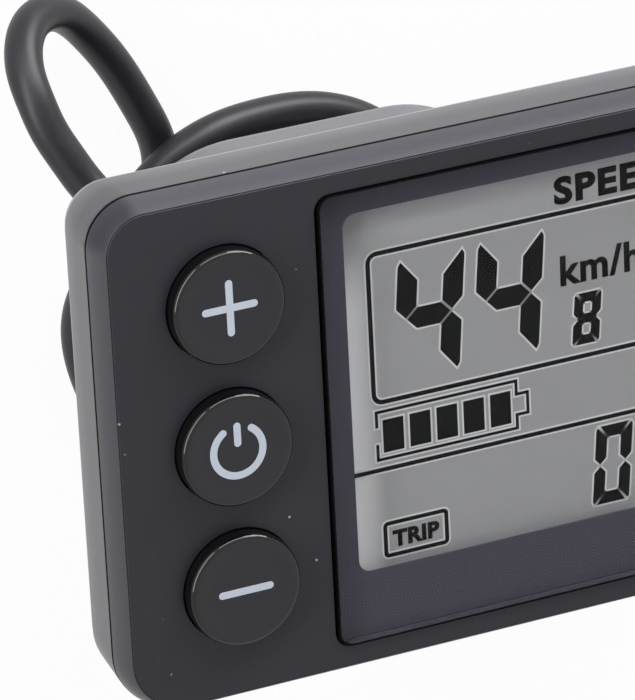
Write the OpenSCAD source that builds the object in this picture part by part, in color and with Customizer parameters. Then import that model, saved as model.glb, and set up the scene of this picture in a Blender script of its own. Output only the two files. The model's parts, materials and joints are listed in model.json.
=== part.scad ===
// E-bike display: a moulded two-part case with three round keys beside a liquid crystal window,
// a two-part handlebar clamp behind it and a short lead that loops round the clamp.
// X runs along the handlebar, Y up the face and Z out of the face. The display lies on its back:
// the clamp's flat land rests on the table at Z = 0, and X = 0, Y = 0 is the middle of the case.

/* [Case] */
// Width of the case along the handlebar
body_w = 82; // [81:0.5:84]
// Height of the case
body_h = 49.4; // [49:0.2:52]
// Radius of the case's upper corners at the parting line
body_corner = 4.5; // [3.5:0.1:5]
// Radius of the case's lower corners at the parting line
lower_corner = 6.1; // [5:0.1:6.4]
// Height of the front shell from the parting line to the face
front_h = 2.7; // [2.6:0.1:3.2]
// Height of the rear shell from its back to the parting line
rear_h = 7.6; // [7.5:0.1:9]
// Inset of the face's edge from the parting line
face_inset = 0.85; // [0.6:0.05:1.1]
// Inset of the back's edge from the parting line
back_inset = 2.2; // [1.8:0.1:2.6]
// Thickness of the side walls
side_wall = 2.2; // [2.1:0.1:2.4]
// Thickness of the front shell behind the face
front_wall = 2.2; // [2.2:0.1:2.4]
// Thickness of the rear shell's back wall
back_wall = 1.6; // [1.2:0.1:1.7]
// Width of the fine groove at the parting line
seam_gap = 0.25; // [0.15:0.05:0.35]

/* [Keys] */
// Gap between one key and the next
key_web = 2.9; // [2.6:0.1:3.2]
// Distance of the keys' centres from the left side of the case
key_left = 11.5; // [11.2:0.1:12]
// Height of the middle key above the middle of the case
key_rise = 0.4; // [0:0.1:0.8]
// Height of a key above the face
key_proud = 1.6; // [1.2:0.1:2]
// Travel of a key
key_travel = 0.6; // [0.3:0.05:0.6]
// Gap round a key
key_gap = 0.12; // [0.1:0.01:0.2]

/* [Window] */
// Distance from the left side of the case to the lens
lens_left = 20.8; // [20.4:0.1:21.4]
// Distance from the right side of the case to the lens
lens_right = 3; // [2.8:0.1:3.4]
// Distance from the top of the case to the lens
lens_above = 2.9; // [2.8:0.1:3.4]
// Distance from the bottom of the case to the lens
lens_below = 3.1; // [3:0.1:3.8]
// Corner radius of the lens
lens_corner = 1.2; // [0.8:0.1:1.6]
// Gap round the lens
lens_gap = 0.3; // [0.2:0.05:0.35]
// Thickness of the lens
lens_t = 1.3; // [1.1:0.05:1.4]
// Height of the lens above the face
lens_proud = 0.35; // [0.2:0.05:0.45]
// Width of the dark border at the sides of the window
border_side = 2.7; // [2.7:0.1:3.4]
// Width of the dark border above the window
border_above = 2.5; // [2.5:0.1:3.2]
// Width of the dark border below the window
border_below = 6.2; // [6:0.1:7]

/* [Clamp] */
// Diameter of the handlebar
bar_d = 22.2; // [21.8:0.1:22.6]
// Thickness of the rubber sleeve round the handlebar
sleeve_t = 1.4; // [1.2:0.1:1.6]
// Width of the clamp along the handlebar
clamp_w = 22; // [20:0.5:23]
// Distance of the clamp's middle from the middle of the case, to the left
clamp_left = 8.5; // [8.3:0.1:9]
// Distance of the handlebar's axis below the middle of the case
clamp_drop = 4; // [3.5:0.1:4.5]
// Thickness of the clamp strap at its sides
strap_wall = 3; // [2.6:0.1:3.2]
// Thickness of the clamp strap under the handlebar
strap_floor = 3.7; // [3.4:0.1:4]
// Thickness of the wall between the handlebar's seat and the back of the case
saddle_roof = 2; // [1.8:0.1:2.4]
// Gap between the clamp strap and the saddle
clamp_gap = 1; // [0.8:0.1:1.4]
// Width of the pedestal on the back
pedestal_w = 39.3; // [38.4:0.1:39.8]
// Distance of the pedestal from the top and bottom of the case
pedestal_in = 2.3; // [2.3:0.1:3]
// Depth of the pedestal behind the back
pedestal_t = 6.7; // [6:0.1:7]
// Corner radius of the pedestal
pedestal_corner = 12; // [10:0.5:12.5]
// Distance of the pedestal's middle from the middle of the case, to the left
pedestal_left = 14; // [13.6:0.1:14.4]
// Thread diameter of the clamp screws
clamp_screw_d = 3; // [2.8:0.1:3.2]

/* [Lead] */
// Diameter of the lead
lead_d = 3.5; // [3.3:0.1:3.6]
// Diameter of the plug's overmoulded body
plug_d = 8; // [7.4:0.2:8.4]
// Length of the plug's overmoulded body
plug_l = 17; // [14:0.5:19]
// Diameter of the plug's locking ring
ring_d = 10; // [9.2:0.2:10.4]
// Length of the plug's locking ring
ring_l = 8; // [7:0.5:9]

/* [Board] */
// Thickness of the circuit board
board_t = 1.2; // [1:0.1:1.4]
// Gap between the circuit board and the side walls
board_gap = 0.6; // [0.5:0.1:0.8]
// Thickness of the display glass
glass_t = 1.6; // [1.4:0.1:1.8]
// Width of the display glass beyond the window, on each side
glass_lap = 0.8; // [0.6:0.1:0.9]
// Thickness of the backlight panel
backlight_t = 2; // [1.8:0.1:2.1]
// Thickness of the display holder's walls
holder_wall = 0.9; // [0.8:0.1:1]
// Diameter of a case screw
case_screw_d = 2; // [1.8:0.1:2.2]
// Diameter of a screw post
post_d = 3.8; // [3.6:0.1:4.2]

/* [Hidden] */
$fn = 64;

// Overrun of every cut past the face that it opens
cut = 0.5;
// Small gap between pieces that lie on each other
fit_gap = 0.05;

// Heights from the table up
bar_r = bar_d / 2;
seat_r = bar_r + sleeve_t;
bar_z = strap_floor + seat_r;
back_z = bar_z + seat_r + saddle_roof;
pedestal_z = back_z - pedestal_t;
seam_z = back_z + rear_h;
face_z = seam_z + front_h;
floor_z = back_z + back_wall;
under_z = face_z - front_wall;

// Places on the face
key_pitch_share = 0.2753;
key_pitch = key_pitch_share * body_h;
key_d = key_pitch - key_web;
key_x = key_left - body_w / 2;
lens_w = body_w - lens_left - lens_right;
lens_h = body_h - lens_above - lens_below;
lens_x = (lens_left - lens_right) / 2;
lens_y = (lens_below - lens_above) / 2;
window_w = lens_w - 2 * border_side;
window_h = lens_h - border_above - border_below;
window_y = lens_y + (border_below - border_above) / 2;
pedestal_h = body_h - 2 * pedestal_in;
clamp_x = -clamp_left;
clamp_y = -clamp_drop;
pedestal_x = -pedestal_left;

// Edge rounding of the two shells, as shares of their insets and heights
face_edge_shares = [[0, 0], [0.42, 0.66], [0.6, 0.87], [1, 1]];
back_edge_shares = [[1, 0], [0.5, 0.06], [0.26, 0.2], [0, 1]];
pedestal_edge_shares = [[1, 0], [0.36, 0.08], [0.08, 0.2], [0, 0.32]];
pedestal_round = 1.4;
cavity_corner = body_corner - side_wall;
cavity_lower = lower_corner - side_wall;

// Seal in the rim of the rear shell
seal_w = 1;
seal_in = 0.6;
seal_depth = 0.5;

// Lens stack
mask_t = 0.2;
adhesive_t = 0.15;
adhesive_w = 1.2;
pocket_z = face_z + lens_proud - lens_t - mask_t - adhesive_t;
mask_z = pocket_z + adhesive_t;
lens_z = mask_z + mask_t;
lens_edge = 0.2;
window_corner = 1.3;
light_gap = 0.5;

// Display stack under the front shell
glass_z = under_z - 2 * fit_gap - glass_t;
backlight_z = glass_z - backlight_t;
board_top = backlight_z;
board_z = board_top - board_t;
glass_w = window_w + 2 * glass_lap;
glass_h = window_h + 2 * glass_lap;
glass_step = 0.8;
holder_gap = 0.1;
board_corner = 1.5;
holder_w = glass_w + 2 * (holder_gap + holder_wall);
holder_h = glass_h + 2 * (holder_gap + holder_wall);
pin_count = 16;
pin_pitch = 2;
pin_w = 0.4;

// Keys
key_edge = 0.55;
key_dish = 0.25;
key_dish_share = 0.78;
dish_shares = [[0.94, 0.5], [0.86, 0.88], [0.76, 1]];
flange_w = 0.6;
flange_t = 0.9;
flange_top = under_z - fit_gap;
flange_z = flange_top - flange_t;
pad_in = 1.65;
pad_d = key_d - 2 * pad_in;
pad_t = 0.9;
pad_z = flange_z - pad_t;
switch_w = 4.5;
switch_h = pad_z - key_travel - fit_gap - board_top;
switch_cap_d = 2.6;
switch_cap_h = 0.35;
mat_out = 1.15;
mat_w = key_d + 2 * mat_out;
mat_hole_gap = 0.5;
mat_hole_d = pad_d + 2 * mat_hole_gap;
mat_t = 0.5;
mat_z = flange_z - key_travel - 2 * fit_gap - mat_t;
mat_skirt = 0.8;

// Screw posts: left corners, right corner and the lower edge
post_in = 5;
post_end_in = 4.9;
post_mid_share = 0.15;
posts = [
    [-(body_w / 2 - post_in), body_h / 2 - post_end_in],
    [-(body_w / 2 - post_in), -(body_h / 2 - post_end_in)],
    [body_w / 2 - post_end_in, -(body_h / 2 - post_end_in)],
    [body_w * post_mid_share, -(body_h / 2 - post_end_in)]];
case_head_share = 1.8;
case_slot_share = 0.67;
case_screw_head_d = case_screw_d * case_head_share;
case_screw_head_h = 1.1;
case_screw_reach = 0.6;
hook_w = 6;
hook_t = 0.8;
hook_drop = 2.4;
hook_places = [lens_x - lens_w / 4, lens_x + lens_w / 4];
rest_d = 3;
rest_shares = [[-0.54, -0.72], [-0.07, -0.74], [0.63, -0.74], [-0.2, 0.76], [0.8, 0.78],
    [-0.9, 0.24], [-0.9, -0.24]];
rests = [for (s = rest_shares) [s[0] * body_w / 2, s[1] * body_h / 2]];

// Parts under the circuit board
chip_shares = [0.34, -0.24];
driver_shares = [0.66, 0.24];
cap_shares = [0.15, 0.48];
coil_shares = [0.66, -0.28];
chip_place = [chip_shares[0] * body_w / 2, chip_shares[1] * body_h / 2];
driver_place = [driver_shares[0] * body_w / 2, driver_shares[1] * body_h / 2];
cap_place = [cap_shares[0] * body_w / 2, cap_shares[1] * body_h / 2];
coil_place = [coil_shares[0] * body_w / 2, coil_shares[1] * body_h / 2];
chip_w = 7;
chip_h = 1;
chip_leg_w = 0.6;
chip_leg_l = 0.9;
chip_leg_pitch = 0.78;
driver_w = 10;
driver_d = 6;
cap_size = [2, 1.2, 0.9];
cap_pitch = 3;
cap_count = 5;
coil_d = 5;
coil_h = 1.2;

// Well in the pedestal for the lead's inner end
well_w = 18;
well_right = 2.4;
well_in = 3.9;
well_low = 1.5;
well_top = pedestal_h / 2 - well_in;
well_x = pedestal_x + well_right - well_w / 2;
well_depth = 3.8;
well_corner = 2;
socket_size = [9, 4.2, 3.2];
socket_in = 2.9;
socket_right = 1.6;
socket_place = [well_x + socket_right, well_top - socket_in];
socket_wall = 0.6;
housing_gap = 0.2;
housing_l = 4.6;
housing_w = socket_size[0] - 2 * (socket_wall + housing_gap);
housing_size = [housing_w, housing_l, socket_size[2] - 2 * socket_wall];
wire_d = 0.6;
wire_count = 5;
wire_pitch = 1.25;
wire_start_pitch = 0.7;
wire_wide_pitch = 0.95;
wire_turn = 1;

// Slanting outlet of the lead under the pedestal
outlet_place = [-26.9, 9];
outlet_turn = 122;
outlet_pitch = 37;
outlet_d = 7.6;
outlet_l = 3.6;
outlet_back = 3;
gland_flange_d = 6.8;
gland_flange_t = 0.8;
gland_d = 5.8;
gland_tip_d = 4.7;
gland_l = 4.2;
gland_rings = 3;
gland_ring_gap = 0.5;
gland_ring_share = 0.6;
gland_seat_d = 4.8;
gland_neck_l = 2.6;
gland_run = outlet_l + gland_flange_t + gland_l;
lead_clear = 0.1;
inner_lead_l = 8.3;

// Clamp
clamp_corner = 2;
ear_w = 8.4;
ear_reach = 3.2;
ear_out = 2.8;
ear_t = 6;
clamp_screw_y = seat_r + ear_reach;
land_w = 16;
land_round = 1.2;
strap_round = 0.8;
clamp_head_share = 1.84;
screw_head_d = clamp_screw_d * clamp_head_share;
screw_head_h = 2.2;
screw_hole_gap = 0.2;
screw_sink = 1.6;
screw_seat_z = bar_z - clamp_gap / 2 - ear_t + screw_sink;
nut_w = 5.5;
nut_t = 2.4;
nut_roof = 1.4;
nut_z = pedestal_z - nut_roof - nut_t;
nut_gap = 0.15;
screw_tip = 0.6;
hex_size = 2.5;
hex_depth_share = 0.6;
sleeve_lip_t = 1.2;
sleeve_lip_h = 1;
sleeve_gap = 0.6;

// Plug on the end of the lead
plug_tip_d = 5;
plug_tip_l = 7;
plug_groove = 0.35;
plug_grooves = 3;
plug_nose_d = 6.4;
plug_nose_l = 6;
plug_bore_d = 5.2;
plug_bore_depth = 4.4;
ring_wall = 1.2;
ring_lobes = 12;
ring_lobe_d = 1;
pin_d = 0.8;
pin_count_plug = 5;
pin_circle_d = 3;
pin_l = 3.4;

// Route of the lead, from the gland to the plug. It turns over above the case's corner, comes down on
// the table, goes round the clamp once and crosses over itself.
lead_points = [
    [-31.1, 15.7, 18.1], [-32.4, 17.7, 16.9], [-33.5, 19.8, 16.1], [-34.7, 22.4, 15.1], [-35.3, 24.8, 14],
    [-35.4, 27, 12.2], [-34.6, 28.8, 10], [-33, 29.8, 7.8], [-30.7, 29.8, 5.7], [-28.1, 28.5, 3.8],
    [-25.4, 25.7, 2.3], [-23.3, 22.8, 1.85], [-20.4, 17.2, 1.85], [-18.9, 12.9, 1.85], [-19.3, 8.6, 1.85],
    [-21.9, 3, 1.85], [-23.3, -4, 1.85], [-22.2, -10, 1.85], [-17.4, -15.4, 1.85], [-9.6, -17.8, 1.85],
    [-1.4, -17, 1.85], [5, -12.6, 1.85], [8.4, -6, 1.85], [8.2, 2, 1.85], [3.8, 9.9, 1.85],
    [-2.4, 13.4, 2.2], [-9.5, 14.6, 3.6], [-15.6, 14.4, 5.2], [-20, 12.6, 5.8], [-23.4, 9.2, 5.6],
    [-26, 4.3, 4.6], [-28, -2.3, 2.2], [-27.3, -8.7, 1.85], [-24.4, -14.9, 1.85], [-19.8, -19.8, 1.85],
    [-12.4, -22.2, 1.9], [-4.4, -22.2, 2.3], [3, -21.2, 3.4], [9.6, -20.3, 4.7], [15.8, -20, 5]];
lead_sides = 8;
lead_last = lead_points[len(lead_points) - 1];
plug_axis_z = lead_last[2];

// Unit vector of the lead's outlet
outlet_flat = [cos(outlet_turn), sin(outlet_turn), 0];
outlet_dir = cos(outlet_pitch) * outlet_flat - [0, 0, sin(outlet_pitch)];
outlet_start = [outlet_place[0], outlet_place[1], pedestal_z];

function unit(v) = v / norm(v);

// Faces between rings of n points each, closed at both ends, for rings that go up anticlockwise
function ring_faces(rings, n) = concat(
    [[for (k = [n - 1 : -1 : 0]) k]],
    [for (j = [0 : rings - 2], k = [0 : n - 1])
        [j * n + k, j * n + (k + 1) % n, (j + 1) * n + (k + 1) % n]],
    [for (j = [0 : rings - 2], k = [0 : n - 1])
        [j * n + k, (j + 1) * n + (k + 1) % n, (j + 1) * n + k]],
    [[for (k = [0 : n - 1]) (rings - 1) * n + k]]);

// Drafted block with round corners: the profile lists [inset, z] from the bottom up, and every wall
// and corner follows it. Crossing bars carry the walls and four turned posts carry the corners. The
// lower corners may have a radius of their own.
module drafted_block(w, h, r, profile, place = [0, 0], low_r = 0) {
    n = len(profile);
    low = low_r > 0 ? low_r : r;
    translate([place[0], place[1], 0])
        union() {
            translate([0, (low - r) / 2, 0])
                rotate([90, 0, 0])
                    linear_extrude(height = h - r - low, center = true)
                        polygon(concat([for (s = profile) [w / 2 - s[0], s[1]]],
                            [for (k = [n - 1 : -1 : 0]) [profile[k][0] - w / 2, profile[k][1]]]));
            rotate([90, 0, 90])
                linear_extrude(height = w - 2 * max(r, low), center = true)
                    polygon(concat([for (s = profile) [h / 2 - s[0], s[1]]],
                        [for (k = [n - 1 : -1 : 0]) [profile[k][0] - h / 2, profile[k][1]]]));
            if (low != r)
                rotate([90, 0, 90])
                    linear_extrude(height = w - 2 * min(r, low), center = true)
                        polygon(concat([[0, profile[0][1]]],
                            [for (s = profile) [(low > r ? 1 : -1) * (h / 2 - s[0]), s[1]]],
                            [[0, profile[n - 1][1]]]));
            for (sx = [-1, 1], sy = [-1, 1]) {
                c = sy > 0 ? r : low;
                translate([sx * (w / 2 - c), sy * (h / 2 - c), 0])
                    rotate_extrude()
                        polygon(concat([[0, profile[0][1]]], [for (s = profile) [c - s[0], s[1]]],
                            [[0, profile[n - 1][1]]]));
            }
        }
}

// Rounded rectangle with true arcs. The lower corners may have a radius of their own.
module rounded_rect(w, h, r, low_r = 0) {
    low = low_r > 0 ? low_r : r;
    translate([0, (low - r) / 2])
        square([w, h - r - low], center = true);
    square([w - 2 * max(r, low), h], center = true);
    if (low != r)
        translate([0, (low > r ? 1 : -1) * h / 4])
            square([w - 2 * min(r, low), h / 2], center = true);
    for (sx = [-1, 1], sy = [-1, 1]) {
        c = sy > 0 ? r : low;
        translate([sx * (w / 2 - c), sy * (h / 2 - c)])
            circle(r = c);
    }
}

// Rounded plate from height z
module plate(w, h, r, z, t, place = [0, 0], low_r = 0) {
    translate([place[0], place[1], z])
        linear_extrude(height = t)
            rounded_rect(w, h, r, low_r);
}

// Tangent of a route at point k
function route_dir(p, k) = unit(p[min(k + 1, len(p) - 1)] - p[max(k - 1, 0)]);

// Side vector square to the tangent and to the reference ref
function side_of(t, ref) = unit(cross(t, ref));

// Ring of n points round point k of route p
function tube_ring(p, k, r, n, first, last, ref) =
    let (given = k == 0 ? first : k == len(p) - 1 ? last : [0, 0, 0],
        t = norm(given) > 0 ? given : route_dir(p, k),
        a = side_of(t, ref),
        b = cross(t, a))
    [for (j = [0 : n - 1]) p[k] + r * cos(360 * (j + 0.5) / n) * a + r * sin(360 * (j + 0.5) / n) * b];

// Tube of radius r along route p. The end directions may be given. The route is never parallel to ref.
module tube(p, r, n, first = [0, 0, 0], last = [0, 0, 0], ref = [0, 0, 1]) {
    polyhedron(points = [for (k = [0 : len(p) - 1]) each tube_ring(p, k, r, n, first, last, ref)],
        faces = ring_faces(len(p), n), convexity = 6);
}

// Turns a child from the Z axis to the outlet's direction at distance run from the pedestal
module on_outlet(run) {
    translate(outlet_start + run * outlet_dir)
        rotate([0, 90 + outlet_pitch, outlet_turn])
            children();
}

// Turns a child from the Z axis to the X axis, on the handlebar's axis
module on_bar() {
    translate([clamp_x, clamp_y, bar_z])
        rotate([0, 90, 0])
            children();
}

// Front shell: face plate with drafted rim, pocket for the lens, light opening and key holes
module front_shell() {
    z0 = seam_z + seam_gap / 2;
    h = face_z - z0;
    color([0.2, 0.2, 0.22])
        union() {
            difference() {
                drafted_block(body_w, body_h, body_corner,
                    [for (s = face_edge_shares) [s[0] * face_inset, z0 + s[1] * h]], low_r = lower_corner);
                plate(body_w - 2 * side_wall, body_h - 2 * side_wall, cavity_corner,
                    z0 - cut, under_z - z0 + cut, low_r = cavity_lower);
                plate(lens_w + 2 * lens_gap, lens_h + 2 * lens_gap, lens_corner + lens_gap,
                    pocket_z, face_z - pocket_z + cut, [lens_x, lens_y]);
                plate(window_w + 2 * light_gap, window_h + 2 * light_gap, window_corner,
                    under_z - cut, face_z, [lens_x, window_y]);
                for (k = [-1 : 1])
                    translate([key_x, key_rise + k * key_pitch, under_z - cut])
                        cylinder(d = key_d + 2 * key_gap, h = front_wall + 2 * cut);
            }
            for (x = hook_places)
                translate([x - hook_w / 2, body_h / 2 - side_wall - fit_gap - hook_t, seam_z - hook_drop])
                    cube([hook_w, hook_t, hook_drop + under_z - seam_z + fit_gap]);
        }
}

// Rear shell: tub with pedestal, saddle, screw posts, seal groove and the lead's outlet
module rear_shell() {
    z1 = seam_z - seam_gap / 2;
    color([0.27, 0.27, 0.29])
        difference() {
            union() {
                difference() {
                    drafted_block(body_w, body_h, body_corner,
                        [for (s = back_edge_shares) [s[0] * back_inset, back_z + s[1] * (z1 - back_z)]],
                        low_r = lower_corner);
                    plate(body_w - 2 * side_wall, body_h - 2 * side_wall, cavity_corner,
                        floor_z, rear_h + cut, low_r = cavity_lower);
                    seal_groove(z1 - seal_depth, seal_depth + cut, fit_gap);
                }
                pedestal();
                saddle();
                on_outlet(-outlet_back)
                    cylinder(d = outlet_d, h = outlet_back + outlet_l);
                for (p = posts)
                    translate([p[0], p[1], floor_z - fit_gap])
                        cylinder(d = post_d, h = under_z - floor_z);
                for (p = rests)
                    translate([p[0], p[1], floor_z - fit_gap])
                        cylinder(d = rest_d, h = board_z - floor_z + fit_gap);
            }
            plate(well_w, well_top - well_low, well_corner, floor_z - well_depth,
                well_depth + cut, [well_x, (well_top + well_low) / 2]);
            on_bar()
                cylinder(r = seat_r, h = body_w + 2 * pedestal_w, center = true);
            on_outlet(-inner_lead_l - lead_d / 2)
                cylinder(d = lead_d + 2 * lead_clear, h = inner_lead_l + lead_d / 2 + outlet_l + cut);
            on_outlet(outlet_l - gland_neck_l)
                cylinder(d = gland_seat_d, h = gland_neck_l + cut);
            for (p = posts) {
                translate([p[0], p[1], back_z - cut])
                    cylinder(d = case_screw_head_d + 4 * fit_gap, h = case_screw_head_h + cut + fit_gap);
                translate([p[0], p[1], back_z - cut])
                    cylinder(d = case_screw_d, h = under_z - case_screw_reach - back_z + cut);
            }
            for (s = [-1, 1])
                clamp_holes(s);
        }
}

// Groove or ring that follows the rim, g wider on each side
module seal_groove(z, t, g) {
    difference() {
        plate(body_w - 2 * (seal_in - g), body_h - 2 * (seal_in - g), body_corner - seal_in + g, z, t,
            low_r = lower_corner - seal_in + g);
        plate(body_w - 2 * (seal_in + seal_w + g), body_h - 2 * (seal_in + seal_w + g),
            body_corner - seal_in - seal_w - g, z - cut, t + 2 * cut,
            low_r = lower_corner - seal_in - seal_w - g);
    }
}

// Pedestal: rounded block behind the case, with its lower edge rounded
module pedestal() {
    drafted_block(pedestal_w, pedestal_h, pedestal_corner, concat(
        [for (s = pedestal_edge_shares) [s[0] * pedestal_round, pedestal_z + s[1] * pedestal_t]],
        [[0, back_z + fit_gap]]), [pedestal_x, 0]);
}

// Upper half of the clamp, under the pedestal
module saddle() {
    z0 = bar_z + clamp_gap / 2;
    h = pedestal_z + cut - z0;
    plate(clamp_w, 2 * (seat_r + strap_wall), clamp_corner, z0, h, [clamp_x, clamp_y]);
    plate(ear_w, 2 * (clamp_screw_y + ear_out), clamp_corner, z0, h, [clamp_x, clamp_y]);
}

// Screw hole of the clamp on side s, and the slot that its nut slides into from outside
module clamp_holes(s) {
    slot_w = nut_w + 2 * nut_gap;
    translate([clamp_x, clamp_y + s * clamp_screw_y, bar_z])
        cylinder(d = clamp_screw_d + 2 * screw_hole_gap,
            h = nut_z + nut_t + screw_tip + 2 * nut_gap - bar_z);
    translate([clamp_x, clamp_y + s * clamp_screw_y, nut_z - nut_gap])
        linear_extrude(height = nut_t + 2 * nut_gap)
            union() {
                rotate(30)
                    circle(d = slot_w / cos(30), $fn = 6);
                translate([-slot_w / 2 - fit_gap, s > 0 ? 0 : -2 * nut_w])
                    square([slot_w + 2 * fit_gap, 2 * nut_w]);
            }
}

// Rubber seal in the rim's groove
module case_seal() {
    color([0.1, 0.1, 0.1])
        seal_groove(seam_z - seam_gap / 2 - seal_depth, seal_depth + seam_gap, 0);
}

// Case screws, up from the back into the posts
module case_screws() {
    color([0.55, 0.55, 0.58])
        for (p = posts)
            translate([p[0], p[1], back_z])
                difference() {
                    union() {
                        cylinder(d = case_screw_head_d, h = case_screw_head_h);
                        cylinder(d = case_screw_d, h = under_z - 2 * case_screw_reach - back_z);
                    }
                    for (turn = [0, 90])
                        rotate([0, 0, turn])
                            translate([-case_screw_head_d * case_slot_share / 2, -case_screw_d / 8, -cut])
                                cube([case_screw_head_d * case_slot_share, case_screw_d / 4,
                                    cut + case_screw_head_h / 2]);
                }
}

// Lens with a fine bevel round its top edge
module lens() {
    color([0.75, 0.8, 0.85, 0.35])
        drafted_block(lens_w, lens_h, lens_corner,
            [[0, lens_z], [0, lens_z + lens_t - lens_edge], [lens_edge, lens_z + lens_t]], [lens_x, lens_y]);
}

// Dark printed border under the lens
module lens_mask() {
    color([0.14, 0.14, 0.17])
        difference() {
            plate(lens_w - lens_edge, lens_h - lens_edge, lens_corner, mask_z, mask_t, [lens_x, lens_y]);
            plate(window_w, window_h, window_corner, mask_z - cut, mask_t + 2 * cut, [lens_x, window_y]);
        }
}

// Tape that holds the lens in its pocket
module lens_adhesive() {
    color([0.3, 0.3, 0.3])
        difference() {
            plate(lens_w - lens_edge, lens_h - lens_edge, lens_corner, pocket_z, adhesive_t,
                [lens_x, lens_y]);
            plate(lens_w - lens_edge - 2 * adhesive_w, lens_h - lens_edge - 2 * adhesive_w, lens_corner / 2,
                pocket_z - cut, adhesive_t + 2 * cut, [lens_x, lens_y]);
        }
}

// Key cap k steps above the middle one: flange, round wall, rounded rim and a shallow dish
module key_cap(k) {
    top = face_z + key_proud;
    dish_r = key_d / 2 * key_dish_share;
    color([0.08, 0.08, 0.09])
        translate([key_x, key_rise + k * key_pitch, 0])
            rotate_extrude()
                union() {
                    translate([0, flange_z])
                        square([key_d / 2 + flange_w, flange_t]);
                    polygon([[0, flange_z], [key_d / 2, flange_z], [key_d / 2, top - key_edge],
                        [key_d / 2 - key_edge, top], [dish_r, top],
                        for (s = dish_shares) [s[0] * dish_r, top - s[1] * key_dish],
                        [0, top - key_dish]]);
                    translate([key_d / 2 - key_edge, top - key_edge])
                        intersection() {
                            circle(r = key_edge);
                            square(key_edge);
                        }
                }
}

// Soft pad under key cap k
module key_pad(k) {
    color([0.45, 0.45, 0.47])
        translate([key_x, key_rise + k * key_pitch, pad_z])
            cylinder(d = pad_d, h = pad_t);
}

module plus_button() { key_cap(1); }
module power_button() { key_cap(0); }
module minus_button() { key_cap(-1); }
module plus_pad() { key_pad(1); }
module power_pad() { key_pad(0); }
module minus_pad() { key_pad(-1); }

// Rubber mat round the pads: a web on a skirt that stands on the circuit board
module key_mat() {
    h = 2 * key_pitch + mat_w;
    color([0.5, 0.5, 0.52])
        translate([key_x, key_rise, 0])
            difference() {
                translate([0, 0, board_top])
                    linear_extrude(height = mat_z + mat_t - board_top)
                        rounded_rect(mat_w, h, mat_w / 2 - fit_gap);
                translate([0, 0, board_top - cut])
                    linear_extrude(height = mat_z - board_top + cut)
                        rounded_rect(mat_w - 2 * mat_skirt, h - 2 * mat_skirt,
                            mat_w / 2 - mat_skirt - fit_gap);
                for (k = [-1 : 1])
                    translate([0, k * key_pitch, board_top])
                        cylinder(d = mat_hole_d, h = mat_z + mat_t + cut - board_top);
            }
}

// Three switches on the circuit board, each a square body with a metal cap
module key_switches() {
    color([0.75, 0.75, 0.72])
        for (k = [-1 : 1])
            translate([key_x, key_rise + k * key_pitch, board_top]) {
                translate([-switch_w / 2, -switch_w / 2, 0])
                    cube([switch_w, switch_w, switch_h - switch_cap_h]);
                cylinder(d = switch_cap_d, h = switch_h);
            }
}

// Liquid crystal glass: two sheets, the lower one longer for the contacts
module display_glass() {
    color([0.62, 0.64, 0.62])
        translate([lens_x, window_y, glass_z]) {
            translate([-glass_w / 2, -glass_h / 2, 0])
                cube([glass_w, glass_h, glass_t / 2]);
            translate([-glass_w / 2, -glass_h / 2 + glass_step, 0])
                cube([glass_w, glass_h - glass_step, glass_t]);
        }
}

// Light guide under the glass
module backlight_panel() {
    color([0.95, 0.95, 0.92])
        translate([lens_x - glass_w / 2, window_y - glass_h / 2, backlight_z])
            cube([glass_w, glass_h, backlight_t]);
}

// Frame that holds the glass and the light guide on the board
module display_holder() {
    color([0.9, 0.9, 0.88])
        translate([lens_x, window_y, 0])
            difference() {
                translate([-holder_w / 2, -holder_h / 2, board_top])
                    cube([holder_w, holder_h, under_z - fit_gap - board_top]);
                translate([-glass_w / 2 - holder_gap, -glass_h / 2 - holder_gap, board_top - cut])
                    cube([glass_w + 2 * holder_gap, glass_h + 2 * holder_gap, face_z - board_top]);
                for (k = [0 : pin_count - 1])
                    translate([(k - (pin_count - 1) / 2) * pin_pitch - pin_w, -holder_h / 2 - cut,
                        board_top - cut])
                        cube([2 * pin_w, holder_wall + cut + holder_gap,
                            glass_z + glass_t / 2 - board_top + cut]);
            }
}

// Contact pins from the glass to the circuit board
module display_pins() {
    color([0.8, 0.75, 0.5])
        for (k = [0 : pin_count - 1])
            translate([lens_x + (k - (pin_count - 1) / 2) * pin_pitch - pin_w / 2,
                window_y - glass_h / 2 - holder_gap - holder_wall, board_top])
                cube([pin_w, holder_wall, glass_z + glass_t / 2 - fit_gap - board_top]);
}

// Circuit board with round notches at the posts
module circuit_board() {
    color([0.1, 0.35, 0.2])
        difference() {
            plate(body_w - 2 * (side_wall + board_gap), body_h - 2 * (side_wall + hook_t + board_gap),
                board_corner, board_z, board_t);
            for (p = posts)
                translate([p[0], p[1], board_z - cut])
                    cylinder(d = post_d + board_gap, h = board_t + 2 * cut);
        }
}

// Square processor with a row of legs on each side, under the board
module processor_chip() {
    legs = 8;
    color([0.12, 0.12, 0.12])
        translate([chip_place[0], chip_place[1], board_z - chip_h]) {
            translate([-chip_w / 2, -chip_w / 2, 0])
                cube([chip_w, chip_w, chip_h]);
            for (turn = [0, 90, 180, 270], k = [0 : legs - 1])
                rotate([0, 0, turn])
                    translate([(k - (legs - 1) / 2) * chip_leg_pitch - chip_leg_w / 4,
                        chip_w / 2 - fit_gap, chip_h / 2])
                        cube([chip_leg_w / 2, chip_leg_l, chip_h / 2]);
        }
}

// Display driver under the board
module driver_chip() {
    color([0.12, 0.12, 0.12])
        translate([driver_place[0] - driver_w / 2, driver_place[1] - driver_d / 2, board_z - chip_h])
            cube([driver_w, driver_d, chip_h]);
}

// Row of capacitors under the board
module capacitors() {
    color([0.6, 0.45, 0.3])
        for (k = [0 : cap_count - 1])
            translate([cap_place[0] + k * cap_pitch - cap_size[0] / 2,
                cap_place[1] - cap_size[1] / 2, board_z - cap_size[2]])
                cube(cap_size);
}

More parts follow.
